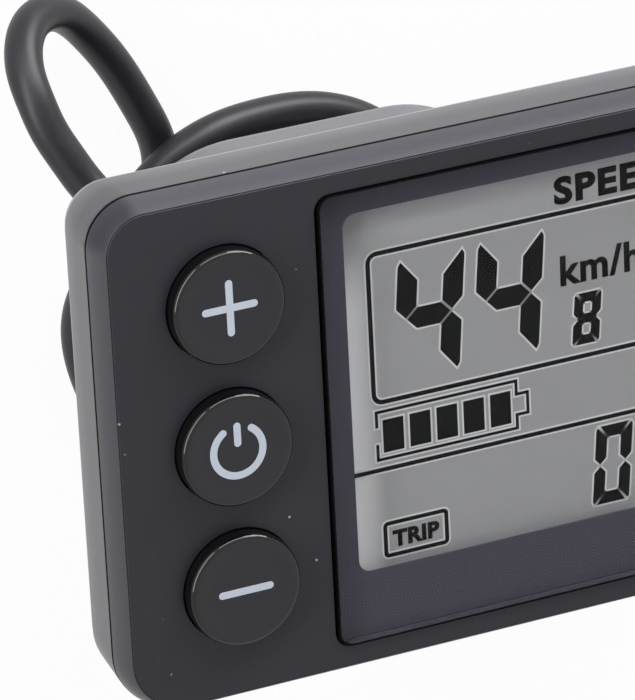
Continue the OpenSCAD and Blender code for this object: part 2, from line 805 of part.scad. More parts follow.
// Power coil under the board
module power_coil() {
    color([0.3, 0.3, 0.32])
        translate([coil_place[0], coil_place[1], board_z - coil_h])
            difference() {
                cylinder(d = coil_d, h = coil_h);
                translate([0, 0, -cut])
                    cylinder(d = coil_d / 3, h = cut + coil_h / 3);
            }
}

// Socket for the lead's wires, hanging from the board into the pedestal's well
module lead_socket() {
    color([0.9, 0.88, 0.8])
        translate([socket_place[0] - socket_size[0] / 2, socket_place[1] - socket_size[1] / 2,
            board_z - socket_size[2]])
            difference() {
                cube(socket_size);
                translate([socket_wall, -cut, socket_wall])
                    cube([socket_size[0] - 2 * socket_wall, socket_size[1] - socket_wall + cut,
                        socket_size[2] - 2 * socket_wall]);
            }
}

// Housing on the wires, pushed into the socket
module lead_housing() {
    z = board_z - socket_size[2] / 2;
    color([0.95, 0.93, 0.88])
        translate([socket_place[0] - housing_size[0] / 2,
            socket_place[1] + socket_size[1] / 2 - socket_wall - 2 * fit_gap - housing_size[1],
            z - housing_size[2] / 2 + fit_gap])
            cube([housing_size[0], housing_size[1], housing_size[2] - 2 * fit_gap]);
}

// Wires from the lead's inner end to the housing: they rise, turn back over the lead and fan out
module lead_wires() {
    start = outlet_start - inner_lead_l * outlet_dir;
    side = [sin(outlet_turn), -cos(outlet_turn), 0];
    y_end = socket_place[1] + socket_size[1] / 2 - socket_wall - 2 * fit_gap - housing_size[1];
    end = [socket_place[0], y_end, board_z - socket_size[2] / 2];
    turn = start - wire_turn * outlet_dir;
    color([0.7, 0.2, 0.15])
        for (k = [0 : wire_count - 1]) {
            off = k - (wire_count - 1) / 2;
            tube([start + off * wire_start_pitch * side,
                turn + off * wire_start_pitch * (side + [1, 0, 0]) / norm(side + [1, 0, 0]),
                turn + [wire_turn / 3, -wire_turn / 6, wire_turn] + off * [wire_wide_pitch, 0, 0],
                (2 * turn + end) / 3 + [0, 0, wire_turn] + off * [wire_wide_pitch, 0, 0],
                (turn + 3 * end) / 4 + [0, 0, wire_turn / 5] + off * [wire_pitch, 0, 0],
                end - [0, wire_turn, 0] + off * [wire_pitch, 0, 0],
                end + off * [wire_pitch, 0, 0]],
                wire_d / 2, 6, -outlet_dir, [0, 1, 0], [1, 0, 0]);
        }
}

// Lead inside the outlet, from the gland's mouth to the well
module inner_lead() {
    color([0.12, 0.12, 0.12])
        on_outlet(-inner_lead_l)
            cylinder(d = lead_d, h = inner_lead_l + gland_run);
}

// Rubber gland: neck in the outlet, flange and a ringed taper round the lead
module lead_gland() {
    color([0.13, 0.13, 0.13])
        on_outlet(outlet_l - gland_neck_l)
            difference() {
                union() {
                    cylinder(d = gland_seat_d - 2 * fit_gap, h = gland_neck_l + fit_gap);
                    translate([0, 0, gland_neck_l])
                        cylinder(d = gland_flange_d, h = gland_flange_t);
                    translate([0, 0, gland_neck_l + gland_flange_t])
                        cylinder(d1 = gland_d, d2 = gland_tip_d, h = gland_l);
                }
                translate([0, 0, -cut])
                    cylinder(d = lead_d + 2 * fit_gap, h = gland_neck_l + gland_run + cut);
                for (k = [0 : gland_rings - 1])
                    translate([0, 0, gland_neck_l + gland_flange_t
                        + (k + gland_ring_share) * gland_l / gland_rings])
                        difference() {
                            cylinder(d = gland_flange_d, h = gland_ring_gap);
                            cylinder(d = gland_tip_d - gland_ring_gap, h = gland_ring_gap);
                        }
            }
}

// Free stretch of the lead
module display_lead() {
    start = outlet_start + gland_run * outlet_dir;
    color([0.2, 0.2, 0.21])
        tube(concat([start], lead_points), lead_d / 2, lead_sides, outlet_dir, [1, 0, 0]);
}

// Overmoulded plug body along X, with a taper round the lead and grip grooves
module plug_body() {
    r = plug_d / 2;
    color([0.12, 0.12, 0.12])
        translate([lead_last[0], lead_last[1], plug_axis_z])
            rotate([0, 90, 0])
                difference() {
                    union() {
                        cylinder(d1 = plug_tip_d, d2 = plug_d, h = plug_tip_l);
                        translate([0, 0, plug_tip_l])
                            cylinder(r = r, h = plug_l - plug_tip_l);
                        translate([0, 0, plug_l])
                            cylinder(d = plug_nose_d, h = plug_nose_l);
                    }
                    translate([0, 0, plug_l + plug_nose_l - plug_bore_depth])
                        cylinder(d = plug_bore_d, h = plug_bore_depth + cut);
                    for (k = [0 : plug_grooves - 1])
                        translate([0, 0, plug_tip_l + (k + 1) * (plug_l - plug_tip_l) / (plug_grooves + 2)])
                            difference() {
                                cylinder(r = r + cut, h = 2 * plug_groove);
                                cylinder(r = r - plug_groove, h = 2 * plug_groove);
                            }
                }
}

// Locking ring that turns on the plug's nose
module plug_ring() {
    color([0.15, 0.15, 0.16])
        translate([lead_last[0] + plug_l + fit_gap, lead_last[1], plug_axis_z])
            rotate([0, 90, 0])
                difference() {
                    cylinder(d = ring_d, h = ring_l);
                    translate([0, 0, -cut])
                        cylinder(d = plug_nose_d + 4 * fit_gap, h = ring_l + 2 * cut);
                    translate([0, 0, plug_nose_l + fit_gap])
                        cylinder(d = ring_d - 2 * ring_wall, h = ring_l);
                    for (k = [0 : ring_lobes - 1])
                        rotate([0, 0, 360 * k / ring_lobes])
                            translate([ring_d / 2 + ring_lobe_d / 4, 0, -cut])
                                cylinder(d = ring_lobe_d, h = ring_l + 2 * cut);
                }
}

// Pins in the plug's nose
module plug_pins() {
    color([0.85, 0.7, 0.35])
        translate([lead_last[0] + plug_l + plug_nose_l - plug_bore_depth, lead_last[1], plug_axis_z])
            rotate([0, 90, 0])
                for (k = [0 : pin_count_plug - 1])
                    rotate([0, 0, 360 * k / pin_count_plug])
                        translate([pin_circle_d / 2, 0, 0])
                            cylinder(d = pin_d, h = pin_l);
}

// Lower half of the clamp: a revolved band with ears for the screws and a flat land underneath
module clamp_strap() {
    top_z = bar_z - clamp_gap / 2;
    outer_r = seat_r + strap_wall;
    color([0.22, 0.22, 0.24])
        difference() {
            union() {
                intersection() {
                    on_bar()
                        rotate_extrude()
                            polygon([[0, -clamp_w / 2], [outer_r - strap_round, -clamp_w / 2],
                                [outer_r, -clamp_w / 2 + strap_round], [outer_r, clamp_w / 2 - strap_round],
                                [outer_r - strap_round, clamp_w / 2], [0, clamp_w / 2]]);
                    translate([clamp_x - clamp_w, clamp_y - 2 * outer_r, top_z - 2 * outer_r])
                        cube([2 * clamp_w, 4 * outer_r, 2 * outer_r]);
                }
                plate(ear_w, 2 * (clamp_screw_y + ear_out), clamp_corner, top_z - ear_t, ear_t,
                    [clamp_x, clamp_y]);
                plate(clamp_w - 2 * strap_round, land_w, land_round, 0, strap_floor, [clamp_x, clamp_y]);
            }
            on_bar()
                cylinder(r = seat_r, h = 2 * clamp_w, center = true);
            for (s = [-1, 1]) {
                translate([clamp_x, clamp_y + s * clamp_screw_y, 0])
                    cylinder(d = clamp_screw_d + 2 * screw_hole_gap, h = bar_z);
                translate([clamp_x, clamp_y + s * clamp_screw_y, 0])
                    cylinder(d = screw_head_d + 2 * screw_hole_gap, h = screw_seat_z);
            }
        }
}

// Two clamp screws with hexagon sockets
module clamp_screws() {
    color([0.5, 0.5, 0.52])
        for (s = [-1, 1])
            translate([clamp_x, clamp_y + s * clamp_screw_y, screw_seat_z])
                difference() {
                    union() {
                        translate([0, 0, -screw_head_h])
                            cylinder(d = screw_head_d, h = screw_head_h);
                        cylinder(d = clamp_screw_d, h = nut_z + nut_t + screw_tip - screw_seat_z);
                    }
                    translate([0, 0, -screw_head_h - cut])
                        cylinder(d = hex_size / cos(30), h = cut + screw_head_h * hex_depth_share, $fn = 6);
                }
}

// Nuts caught in the saddle
module clamp_nuts() {
    color([0.6, 0.6, 0.62])
        for (s = [-1, 1])
            translate([clamp_x, clamp_y + s * clamp_screw_y, nut_z])
                difference() {
                    rotate([0, 0, 30])
                        cylinder(d = nut_w / cos(30), h = nut_t, $fn = 6);
                    translate([0, 0, -cut])
                        cylinder(d = clamp_screw_d + 2 * fit_gap, h = nut_t + 2 * cut);
                }
}

// Half of the rubber sleeve round the handlebar, with a lip at each end of the clamp
module sleeve_half(side) {
    color([0.16, 0.16, 0.16])
        intersection() {
            on_bar()
                difference() {
                    union() {
                        cylinder(r = seat_r - fit_gap, h = clamp_w, center = true);
                        for (s = [-1, 1])
                            translate([0, 0, s * (clamp_w / 2 + sleeve_lip_t / 2 + fit_gap)])
                                cylinder(r = bar_r + sleeve_t + (side > 0 ? -fit_gap : sleeve_lip_h),
                                    h = sleeve_lip_t, center = true);
                        for (s = [-1, 1])
                            translate([0, 0, s * clamp_w / 2])
                                cylinder(r = seat_r - fit_gap, h = 2 * sleeve_lip_t, center = true);
                    }
                    cylinder(r = bar_r, h = 2 * clamp_w, center = true);
                }
            translate([clamp_x - clamp_w, clamp_y - 2 * seat_r,
                bar_z + (side > 0 ? sleeve_gap / 2 : -sleeve_gap / 2 - 2 * seat_r)])
                cube([2 * clamp_w, 4 * seat_r, 2 * seat_r]);
        }
}

module upper_sleeve() { sleeve_half(1); }
module lower_sleeve() { sleeve_half(-1); }

front_shell();
rear_shell();
case_seal();
case_screws();
lens();
lens_mask();
lens_adhesive();
plus_button();
power_button();
minus_button();
plus_pad();
power_pad();
minus_pad();
key_mat();
key_switches();
display_glass();
backlight_panel();
display_holder();
display_pins();
circuit_board();
processor_chip();
driver_chip();
capacitors();
power_coil();
lead_socket();
lead_housing();
lead_wires();
inner_lead();
lead_gland();
display_lead();
plug_body();
plug_ring();
plug_pins();
clamp_strap();
clamp_screws();
clamp_nuts();
upper_sleeve();
lower_sleeve();
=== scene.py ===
"""An e-bike display lying face up above its own lead: case, lens, liquid crystal window, three keys,
bar clamp and plug. X runs along the handlebar, Y up the face and Z out of the face. The scene is in metres.
The lengths below are in millimetres, apart from the camera's place, the floor and the lamps."""
import json
import math
import bmesh
import bpy
import numpy as np
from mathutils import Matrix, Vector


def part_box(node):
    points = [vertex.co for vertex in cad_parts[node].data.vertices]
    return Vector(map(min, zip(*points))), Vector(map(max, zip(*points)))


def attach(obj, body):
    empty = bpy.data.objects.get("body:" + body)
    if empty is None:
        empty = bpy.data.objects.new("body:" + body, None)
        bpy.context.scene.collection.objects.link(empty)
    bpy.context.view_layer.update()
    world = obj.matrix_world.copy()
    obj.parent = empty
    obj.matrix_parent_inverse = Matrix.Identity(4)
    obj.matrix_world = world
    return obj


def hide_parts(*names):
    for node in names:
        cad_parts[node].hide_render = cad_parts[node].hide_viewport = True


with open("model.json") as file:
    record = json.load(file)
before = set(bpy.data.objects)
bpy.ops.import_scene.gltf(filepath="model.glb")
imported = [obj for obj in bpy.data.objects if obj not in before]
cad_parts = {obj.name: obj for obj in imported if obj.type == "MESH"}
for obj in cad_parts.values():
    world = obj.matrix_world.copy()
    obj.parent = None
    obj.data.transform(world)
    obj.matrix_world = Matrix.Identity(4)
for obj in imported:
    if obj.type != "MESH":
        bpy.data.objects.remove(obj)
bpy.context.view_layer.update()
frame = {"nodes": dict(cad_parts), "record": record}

MM = 0.001

KEY_SIGNS = ("plus", "power", "minus")

# Camera, fitted to the photograph's edges: its place, its turn about X, Y and Z, and its lens
PHOTO_W = 635
PHOTO_H = 700
CAMERA_PLACE = (-0.2249, 0.2311, 0.5138)
CAMERA_TURN = (-0.4397, -0.3745, -0.2221)
FOCAL_PX = 6386
CENTRE_PX = (330.2, 335.2)

# Lead: the tube's step and sides, the length of lead that takes up one unit of its UV map, and its route from
# the gland to the plug, as in the solids
LEAD_D = 3.5
LEAD_STEP = 0.5
LEAD_SIDES = 28
UV_LENGTH = 20
GLAND_MOUTH = (-30.54, 14.825, 18.824)
GLAND_WAY = (-0.4232, 0.6773, -0.6018)
PLUG_WAY = (1, 0, 0)
LEAD_ROUTE = [
    (-31.1, 15.7, 18.1), (-32.4, 17.7, 16.9), (-33.5, 19.8, 16.1), (-34.7, 22.4, 15.1), (-35.3, 24.8, 14),
    (-35.4, 27, 12.2), (-34.6, 28.8, 10), (-33, 29.8, 7.8), (-30.7, 29.8, 5.7), (-28.1, 28.5, 3.8),
    (-25.4, 25.7, 2.3), (-23.3, 22.8, 1.85), (-20.4, 17.2, 1.85), (-18.9, 12.9, 1.85), (-19.3, 8.6, 1.85),
    (-21.9, 3, 1.85), (-23.3, -4, 1.85), (-22.2, -10, 1.85), (-17.4, -15.4, 1.85), (-9.6, -17.8, 1.85),
    (-1.4, -17, 1.85), (5, -12.6, 1.85), (8.4, -6, 1.85), (8.2, 2, 1.85), (3.8, 9.9, 1.85),
    (-2.4, 13.4, 2.2), (-9.5, 14.6, 3.6), (-15.6, 14.4, 5.2), (-20, 12.6, 5.8), (-23.4, 9.2, 5.6),
    (-26, 4.3, 4.6), (-28, -2.3, 2.2), (-27.3, -8.7, 1.85), (-24.4, -14.9, 1.85), (-19.8, -19.8, 1.85),
    (-12.4, -22.2, 1.9), (-4.4, -22.2, 2.3), (3, -21.2, 3.4), (9.6, -20.3, 4.7), (15.8, -20, 5)]

# Marks on the liquid crystal glass, from the middle of the case. A box is its left, foot, right and head, and
# a corner radius where it has one. A digit's size is its width, height, bar and gap.
MARK_T = 0.02
FILM_T = 0.03
FILM_GAP = 0.002
FILM_R = 0.3
MARGIN = 0.17
SLANT = 0.085
SPEED_BOX = (-14.9, -0.07, 32.7, 14.66, 1.1)
SPEED_BOX_LINE = 0.44
DIVIDER_Y = -6.4
DIVIDER_LINE = 0.42
DIVIDER_INSET = 2.6
# Each kind of digit: its size, the bars that are on, and its places
DIGITS = (((6.55, 11.5, 2.0, 0.3), "fgbc", ((-12.72, 1.75), (-4.85, 1.75))),
          ((2.7, 4.95, 0.9, 0.2), "abcdefg", ((5.05, 1.3),)),
          ((3.7, 7.7, 1.15, 0.22), "abcdef",
           ((6.55, -14.9), (11.85, -14.9), (17.15, -14.9), (22.45, -14.9), (28.85, -14.9))))
BATTERY = (-14.69, -5.55, -0.55, -0.62)
BATTERY_NUB = (0.56, -1.93)
BATTERY_LINE = 0.3
BATTERY_SLIT = 0.8
BAR_W = 2.05
BAR_H = 3.2
BAR_PITCH = 2.66
BAR_START = (-13.97, -4.8)
BAR_COUNT = 5
TRIP_BOX = (-14.4, -15.15, -7.93, -11.6, 0.5)
TRIP_BOX_LINE = 0.4
# Each word's piece and letters, its left end and foot, cap height, width, thickening and spacing
WORDS = (("speed_word", "SPEED", 3.75, 15.2, 2.7, 11.6, 0.045, 1.13),
         ("unit_word", "km/h", 4.1, 7.3, 3.0, 8.1, 0.03, 1.08),
         ("trip_word", "TRIP", -13.5, -14.25, 1.65, 4.65, 0.05, 1.06))

# Light: share of the white surroundings that lights the object, share of the floor's white that is seen, and
# for each soft box the way to it, its distance, its width and height and its power in watts
WORLD_LIGHT = 0.3
FLOOR_GLOW = 0.95
FLOOR_REACH = 3.0
LAMP_TARGET = (0, 0, 0.03)
SOFT_BOXES = (("box_left", (-0.82, 0.36, 0.42), 0.5, 0.6, 0.15, 1.9),
              ("box_behind", (0.13, 0.9, 0.45), 0.6, 0.65, 0.15, 2.1),
              ("box_right", (0.6, 0.8, 0.15), 0.8, 0.5, 0.3, 5.0))

# Case, as in the solids: corner radii, parting line, walls, and the creases at the rear
# shell's back edge, rounded where they lie further out than BACK_REACH
UPPER_R = 4.5
LOWER_R = 6.1
SEAM_Z = 38.425
SIDE_WALL = 2.2
FRONT_WALL = 2.2
BACK_CREASES = (31.1485, 32.1875)
BACK_REACH = (34, 22)
BACK_ROUND = 0.5
CREASE_SLACK = 0.02

# Dressed case: the rim's inset and its curve's handles as shares of inset and height, the line along the
# face's edge, the angle from which an edge counts as a crease, and the fine rounding of such edges
FACE_INSET = 0.85
RIM_SHARES = ((0, 0), (0.14, 0.45), (0.5, 0.74), (1, 1))
RIM_ROWS = 18
LINE_W = 0.18
LINE_DEEP = 0.1
FRONT_CREASE = 24
FRONT_EDGE = 0.03
BACK_CREASE = 30
BACK_EDGE = 0.08
WELD_GAP = 0.002
FLAT_ANGLE = 0.3
CUT_PAST = 1
SOLID_EDGES = {"clamp_strap": 0.2, "plug_body": 0.08, "plug_ring": 0.08}
SOLID_CREASE = 38
SOLID_WELD = 0.001

# Lens and window: gap round the lens and at its head, a black band of painted shade round its edge (left,
# foot, right, head), air over the printed border, and how far the opening reaches past the window
LENS_R = 1.5
LENS_GAP = 0.28
HEAD_GAP = 0.16
LENS_EDGE = 0.08
LENS_CREASE = 30
LENS_AIR = 0.02
LENS_INSET = 0.01
EDGE_SHADE_BAND = (0.14, 0.06, 0.06, 0.06)
WINDOW = (-17.5, -15.4, 35.3, 19.3)
WINDOW_R = 1.3
OPENING = 1.2

# Keys: flange, gap in the face, round rim and the narrow lip inside it, and the dish
FLANGE_W = 0.6
FLANGE_AIR = 0.05
KEY_GAP = 0.12
KEY_EDGE = 0.55
KEY_LIP = 0.05
KEY_BREAK = 0.03
KEY_WALL_ROW = 0.3
DISH = 0.18
DISH_FLAT_R = 3.1

# Signs on the keys: the power sign's arc is open by POWER_GAP degrees either side of its bar, and the plus
# sign's upright arms are a hair lower than its level one
SIGN_ARM = 5.3
SIGN_LINE = 0.68
SIGN_T = 0.03
UPRIGHT_SHARE = 0.98
POWER_R = 2.36
POWER_GAP = 35
POWER_FOOT = 0.73

# Painted light and shade on the case: painted shade, black, inside the parting groove; a painted highlight
# line at a height and its half width; the range of heights over which the back is painted paler, as light;
# and the ranges of the surface's Z direction and of its X times Y direction over which the sides are painted
# paler, as light, and two corners keep a painted shade
GROOVE_Z = 38.0
GROOVE_TOP = 38.54
GROOVE_SHADE_TONE = (0.001, 0.001, 0.001)
HIGHLIGHT_LINE_Z = (32.2, 0.13)
HIGHLIGHT_LINE_TONE = (0.3, 0.3, 0.31)
BACK_LIGHT_Z = (36, 31.2)
SIDE_LIGHT_FADE = (0.95, 0.4)
CORNER_SHADE_FADE = (-0.04, -0.26)
CORNER_SHADE = 0.9
SPECK_TONE = (0.55, 0.55, 0.55)

# Tones of the keys, the lead and the liquid crystal glass. The glass is painted paler, as light, near the
# left
# and upper edge of the printed border: each pair of distances is where that tone starts and where it is full
KEY_WALL_TONE = (0.003, 0.003, 0.0035)
KEY_TOP_TONE = (0.0095, 0.009, 0.0115)
KEY_TOP_Z = (0.93, 0.995)
KEY_SPECK_TONE = (0.4, 0.4, 0.4)
LEAD_TONES = ((0.007, 0.007, 0.0095), (0.02, 0.02, 0.025))
GLASS_TONES = ((0.2, 0.2, 0.2), (0.22, 0.22, 0.22))
PAINTED_GLOW_TONE = (0.58, 0.58, 0.575)
LEFT_GLOW = (6.5, 2.6)
LEFT_GLOW_DOWN = (3, 13)
LEFT_GLOW_LEAST = 0.3
HEAD_GLOW = (9, 3)
HEAD_GLOW_SHARE = 0.32


def box_mm(name):
    """Both corners of a node's box, in millimetres."""
    low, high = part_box(name)
    return np.array(low) / MM, np.array(high) / MM


def placed(name, data):
    """A new object at the origin."""
    obj = bpy.data.objects.new(name, data)
    bpy.context.scene.collection.objects.link(obj)
    return obj


def hold(piece, body="display", replaced=None):
    """Gives a piece its body and, where there is one, hides the node that it stands for."""
    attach(piece, body)
    if replaced:
        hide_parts(replaced)


def new_mesh(name, points, faces):
    """A mesh from an array of points and a list of faces."""
    mesh = bpy.data.meshes.new(name)
    mesh.from_pydata(np.asarray(points, float).tolist(), [], [list(map(int, f)) for f in faces])
    mesh.update()
    return mesh


def points_of(mesh):
    """The mesh's points as an array."""
    points = np.empty(len(mesh.vertices) * 3)
    mesh.vertices.foreach_get("co", points)
    return points.reshape(-1, 3)


def new_object(name, points, faces, material, smooth=True, uv=None):
    """An object of a new mesh, with a UV map from one pair of values for each point."""
    mesh = new_mesh(name, points, faces)
    mesh.polygons.foreach_set("use_smooth", np.full(len(mesh.polygons), smooth))
    mesh.materials.append(material)
    if uv is not None:
        layer = mesh.uv_layers.new(name="surface")
        corners = np.empty(len(mesh.loops), int)
        mesh.loops.foreach_get("vertex_index", corners)
        layer.data.foreach_set("uv", np.asarray(uv, float)[corners].ravel())
    return placed(name, mesh)


def grid_faces(rows, columns, wrap=False):
    """Quads of a grid numbered row by row. Its columns go all the way round, and with wrap its rows too."""
    i = np.arange(rows if wrap else rows - 1)[:, None]
    j = np.arange(columns)[None, :]
    next_i = (i + 1) % rows
    next_j = (j + 1) % columns
    corners = [i * columns + j, i * columns + next_j, next_i * columns + next_j, next_i * columns + j]
    return np.stack(corners, axis=-1).reshape(-1, 4).tolist()


def capped_faces(rows, columns):
    """Quads of a grid whose columns go all the way round, and a face over each end."""
    ends = [list(range(columns))[::-1], list(range((rows - 1) * columns, rows * columns))]
    return grid_faces(rows, columns) + ends


def ways(turn):
    """Directions in the plane at the given turns."""
    return np.column_stack([np.cos(turn), np.sin(turn)])


def case_outline(low, high, upper_r, lower_r, steps=16, spread=10):
    """Outline of a rounded rectangle with its own radius for the upper and the lower corners, anticlockwise.

    Each corner is a quarter circle. The straight sides are divided too, closer towards the corners. Every
    point's outward direction is given as well, so an inset copy is the point less inset x direction."""
    (left, foot), (right, head) = low[:2], high[:2]
    centres = [(right - upper_r, head - upper_r, upper_r), (left + upper_r, head - upper_r, upper_r),
               (left + lower_r, foot + lower_r, lower_r), (right - lower_r, foot + lower_r, lower_r)]
    turn = np.linspace(0, math.pi / 2, steps + 1)
    share = (1 - np.cos(np.linspace(0, math.pi, spread + 2)[1:-1])) / 2
    points = []
    outward = []
    for k, (x, y, r) in enumerate(centres):
        way = ways(turn + k * math.pi / 2)
        nx, ny, nr = centres[(k + 1) % 4]
        end = np.array([x, y]) + r * way[-1]
        start = np.array([nx, ny]) + nr * way[-1]
        points += [np.array([x, y]) + r * way, end + share[:, None] * (start - end)]
        outward += [way, np.repeat(way[-1:], spread, axis=0)]
    return np.vstack(points), np.vstack(outward)


def rounded_outline(low, high, radius, steps=8, spread=0):
    """Outline of a rounded rectangle with one radius."""
    return case_outline(low, high, radius, radius, steps, spread)[0]


def widened(outline, by):
    """A closed outline moved outwards by a distance: each corner moves along the mitre of its two edges.

    The mitre of a very sharp corner is kept short."""
    p = np.asarray(outline, float)
    before = p - np.roll(p, 1, axis=0)
    after = np.roll(p, -1, axis=0) - p
    n1 = np.stack([before[:, 1], -before[:, 0]], axis=1) / np.linalg.norm(before, axis=1)[:, None]
    n2 = np.stack([after[:, 1], -after[:, 0]], axis=1) / np.linalg.norm(after, axis=1)[:, None]
    mitre = n1 + n2
    return p + by * mitre / np.maximum(0.5 * (mitre ** 2).sum(axis=1), 0.35)[:, None]


class Marks:
    """Flat marks that share one object: every outline becomes a thin closed plate or ring."""

    def __init__(self):
        self.points = []
        self.faces = []

    def add(self, section, faces):
        """Appends a ring of points for each outline and height, with faces numbered within them."""
        start = sum(len(p) for p in self.points)
        self.points += [np.column_stack([line, np.full(len(line), z)]) for line, z in section]
        self.faces += [[start + k for k in f] for f in faces]

    def plate(self, outline, z0, z1):
        """Outline carried from z0 to z1, with a face at each end."""
        self.add([(outline, z0), (outline, z1)], capped_faces(2, len(outline)))

    def ring(self, outer, inner, z0, z1):
        """Ring between two outlines of as many points: its square section closes on itself."""
        section = [(outer, z0), (outer, z1), (inner, z1), (inner, z0)]
        self.add(section, grid_faces(4, len(outer), wrap=True))

    def make(self, name, material):
        """The object of all marks so far."""
        return new_object(name, np.vstack(self.points) * MM, self.faces, material, smooth=False)


# Camera

def add_camera():
    """A long lens from the upper left, with the small shift of the photograph's crop."""
    data = bpy.data.cameras.new("photo_camera")
    data.sensor_fit = "HORIZONTAL"
    data.sensor_width = 36
    data.lens = FOCAL_PX * data.sensor_width / PHOTO_W
    data.shift_x = (PHOTO_W / 2 - CENTRE_PX[0]) / PHOTO_W
    data.shift_y = (CENTRE_PX[1] - PHOTO_H / 2) / PHOTO_W
    data.clip_start = 0.01
    data.clip_end = 10
    camera = placed("photo_camera", data)
    camera.location = CAMERA_PLACE
    camera.rotation_mode = "ZYX"
    camera.rotation_euler = CAMERA_TURN
    turn = camera.rotation_euler.to_matrix().to_euler("XYZ")
    camera.rotation_mode = "XYZ"
    camera.rotation_euler = turn
    bpy.context.scene.camera = camera


# Nodes and shader groups

def feed(tree, socket, value):
    """Links an output to a socket, or sets the socket's value. Three numbers are a full colour."""
    if isinstance(value, bpy.types.NodeSocket):
        tree.links.new(value, socket)
    else:
        socket.default_value = (*value, 1) if isinstance(value, tuple) and len(value) == 3 else value


def node(tree, kind, values=(), **settings):
    """A node with its settings, and with its inputs fed from values."""
    made = tree.nodes.new(kind)
    for key, value in settings.items():
        setattr(made, key, value)
    for key, value in dict(values).items():
        feed(tree, made.inputs[key], value)
    return made


def maths(tree, operation, *values, clamp=False):
    """A Math node's result. The values are outputs or numbers."""
    made = node(tree, "ShaderNodeMath", dict(enumerate(values)), operation=operation, use_clamp=clamp)
    return made.outputs[0]


def blended(tree, share, a, b):
    """A colour mix. share, a and b are outputs or values."""
    return node(tree, "ShaderNodeMix", {0: share, 6: a, 7: b}, data_type="RGBA").outputs[2]


def ramp(tree, value, start, stop, top=1.0, interpolation="SMOOTHSTEP"):
    """Rises from 0 where the value is start to top where it is stop."""
    values = {"Value": value, "From Min": start, "From Max": stop, "To Max": top}
    return node(tree, "ShaderNodeMapRange", values, interpolation_type=interpolation).outputs["Result"]


def axes(tree, source, output):
    """X, Y and Z of a source node's output."""
    return node(tree, "ShaderNodeSeparateXYZ", {"Vector": node(tree, source).outputs[output]}).outputs


def add_bump(tree, shader, height, strength, depth):
    """Feeds a height to the shader's normal. The depth is in millimetres."""
    bump = node(tree, "ShaderNodeBump", {"Strength": strength, "Distance": depth * MM, "Height": height})
    feed(tree, shader.inputs["Normal"], bump.outputs["Normal"])


def set_roughness(tree, shader, source, gain, base):
    """Roughness: a base value plus the source times a gain."""
    rough = maths(tree, "ADD", maths(tree, "MULTIPLY", source, gain), base)
    feed(tree, shader.inputs["Roughness"], rough)


def mixed_surface(tree, share, shader, other):
    """The material shows the other shader by a share, and its own by the rest."""
    mix = node(tree, "ShaderNodeMixShader", {"Fac": share, 1: shader.outputs[0], 2: other.outputs[0]})
    feed(tree, tree.nodes["Material Output"].inputs["Surface"], mix.outputs["Shader"])


def new_group(name, inputs, outputs):
    """An empty node group with named number sockets, and its two end nodes."""
    group = bpy.data.node_groups.new(name, "ShaderNodeTree")
    for label, value in inputs.items():
        socket = group.interface.new_socket(label, in_out="INPUT", socket_type="NodeSocketFloat")
        socket.default_value = value
    for label in outputs:
        group.interface.new_socket(label, in_out="OUTPUT", socket_type="NodeSocketFloat")
    return group, group.nodes.new("NodeGroupInput"), group.nodes.new("NodeGroupOutput")


def mould_grain_group():
    """Fine spark-eroded grain: a height from a fine noise, and a faint unevenness from it and a wider one."""
    group, start, end = new_group("mould_grain", {"Size mm": 0.25}, ("Height", "Unevenness"))
    place = node(group, "ShaderNodeTexCoord").outputs["Object"]
    scale = maths(group, "DIVIDE", 1 / MM, start.outputs["Size mm"])
    wide_scale = maths(group, "MULTIPLY", scale, 0.12)
    fine, wide = (node(group, "ShaderNodeTexNoise", {
        "Vector": place, "Scale": size, "Detail": detail, "Roughness": rough}).outputs["Fac"]
        for size, detail, rough in ((scale, 3.0, 0.6), (wide_scale, 2.0, 0.5)))
    feed(group, end.inputs["Height"], fine)
    feed(group, end.inputs["Unevenness"], maths(group, "MULTIPLY", maths(group, "ADD", fine, wide), 0.5))
    return group


def dust_group():
    """Sparse pale specks: near the points of a cell pattern, in the cells whose random value is under Share.

    A fine noise bends the cells, so that the specks aren't round."""
    values = {"Cell mm": 2.5, "Speck mm": 0.07, "Share": 0.3}
    group, start, end = new_group("dust_specks", values, ("Specks",))
    place = node(group, "ShaderNodeTexCoord").outputs["Object"]
    cell = start.outputs["Cell mm"]
    warp = node(group, "ShaderNodeTexNoise", {"Vector": place, "Scale": 4500.0, "Detail": 1.0})
    shift = node(group, "ShaderNodeVectorMath", {0: warp.outputs["Color"], "Scale": 0.12 * MM},
                 operation="SCALE")
    moved = node(group, "ShaderNodeVectorMath", {0: place, 1: shift.outputs["Vector"]}, operation="ADD")
    cells = node(group, "ShaderNodeTexVoronoi", {
        "Vector": moved.outputs["Vector"], "Scale": maths(group, "DIVIDE", 1 / MM, cell), "Randomness": 1.0},
        feature="F1")
    random = node(group, "ShaderNodeSeparateColor", {"Color": cells.outputs["Color"]}).outputs
    size = maths(group, "MULTIPLY", maths(group, "DIVIDE", start.outputs["Speck mm"], cell),
                 maths(group, "ADD", random["Green"], 0.3))
    near = maths(group, "SUBTRACT", 1.0, maths(group, "DIVIDE", cells.outputs["Distance"], size), clamp=True)
    kept = maths(group, "LESS_THAN", random["Red"], start.outputs["Share"])
    soft = maths(group, "MULTIPLY", maths(group, "MULTIPLY", near, 2.0, clamp=True), kept)
    feed(group, end.inputs["Specks"], soft)
    return group


GRAIN = mould_grain_group()
DUST = dust_group()


def spaced(values):
    """Values under their sockets' names, in which an underscore stands for a space."""
    return {key.replace("_", " "): value for key, value in values.items()}


def from_group(tree, group, **values):
    """The outputs of a group node with its own input values."""
    return node(tree, "ShaderNodeGroup", spaced(values), node_tree=group).outputs


def dusted(tree, tone, share, speck_tone, **values):
    """A tone with dust specks that cover it by a share."""
    specks = from_group(tree, DUST, **values)["Specks"]
    return blended(tree, maths(tree, "MULTIPLY", specks, share), tone, speck_tone)


def times(values, factor):
    """Each value times a factor, as for a colour made paler or darker."""
    return tuple(value * factor for value in values)


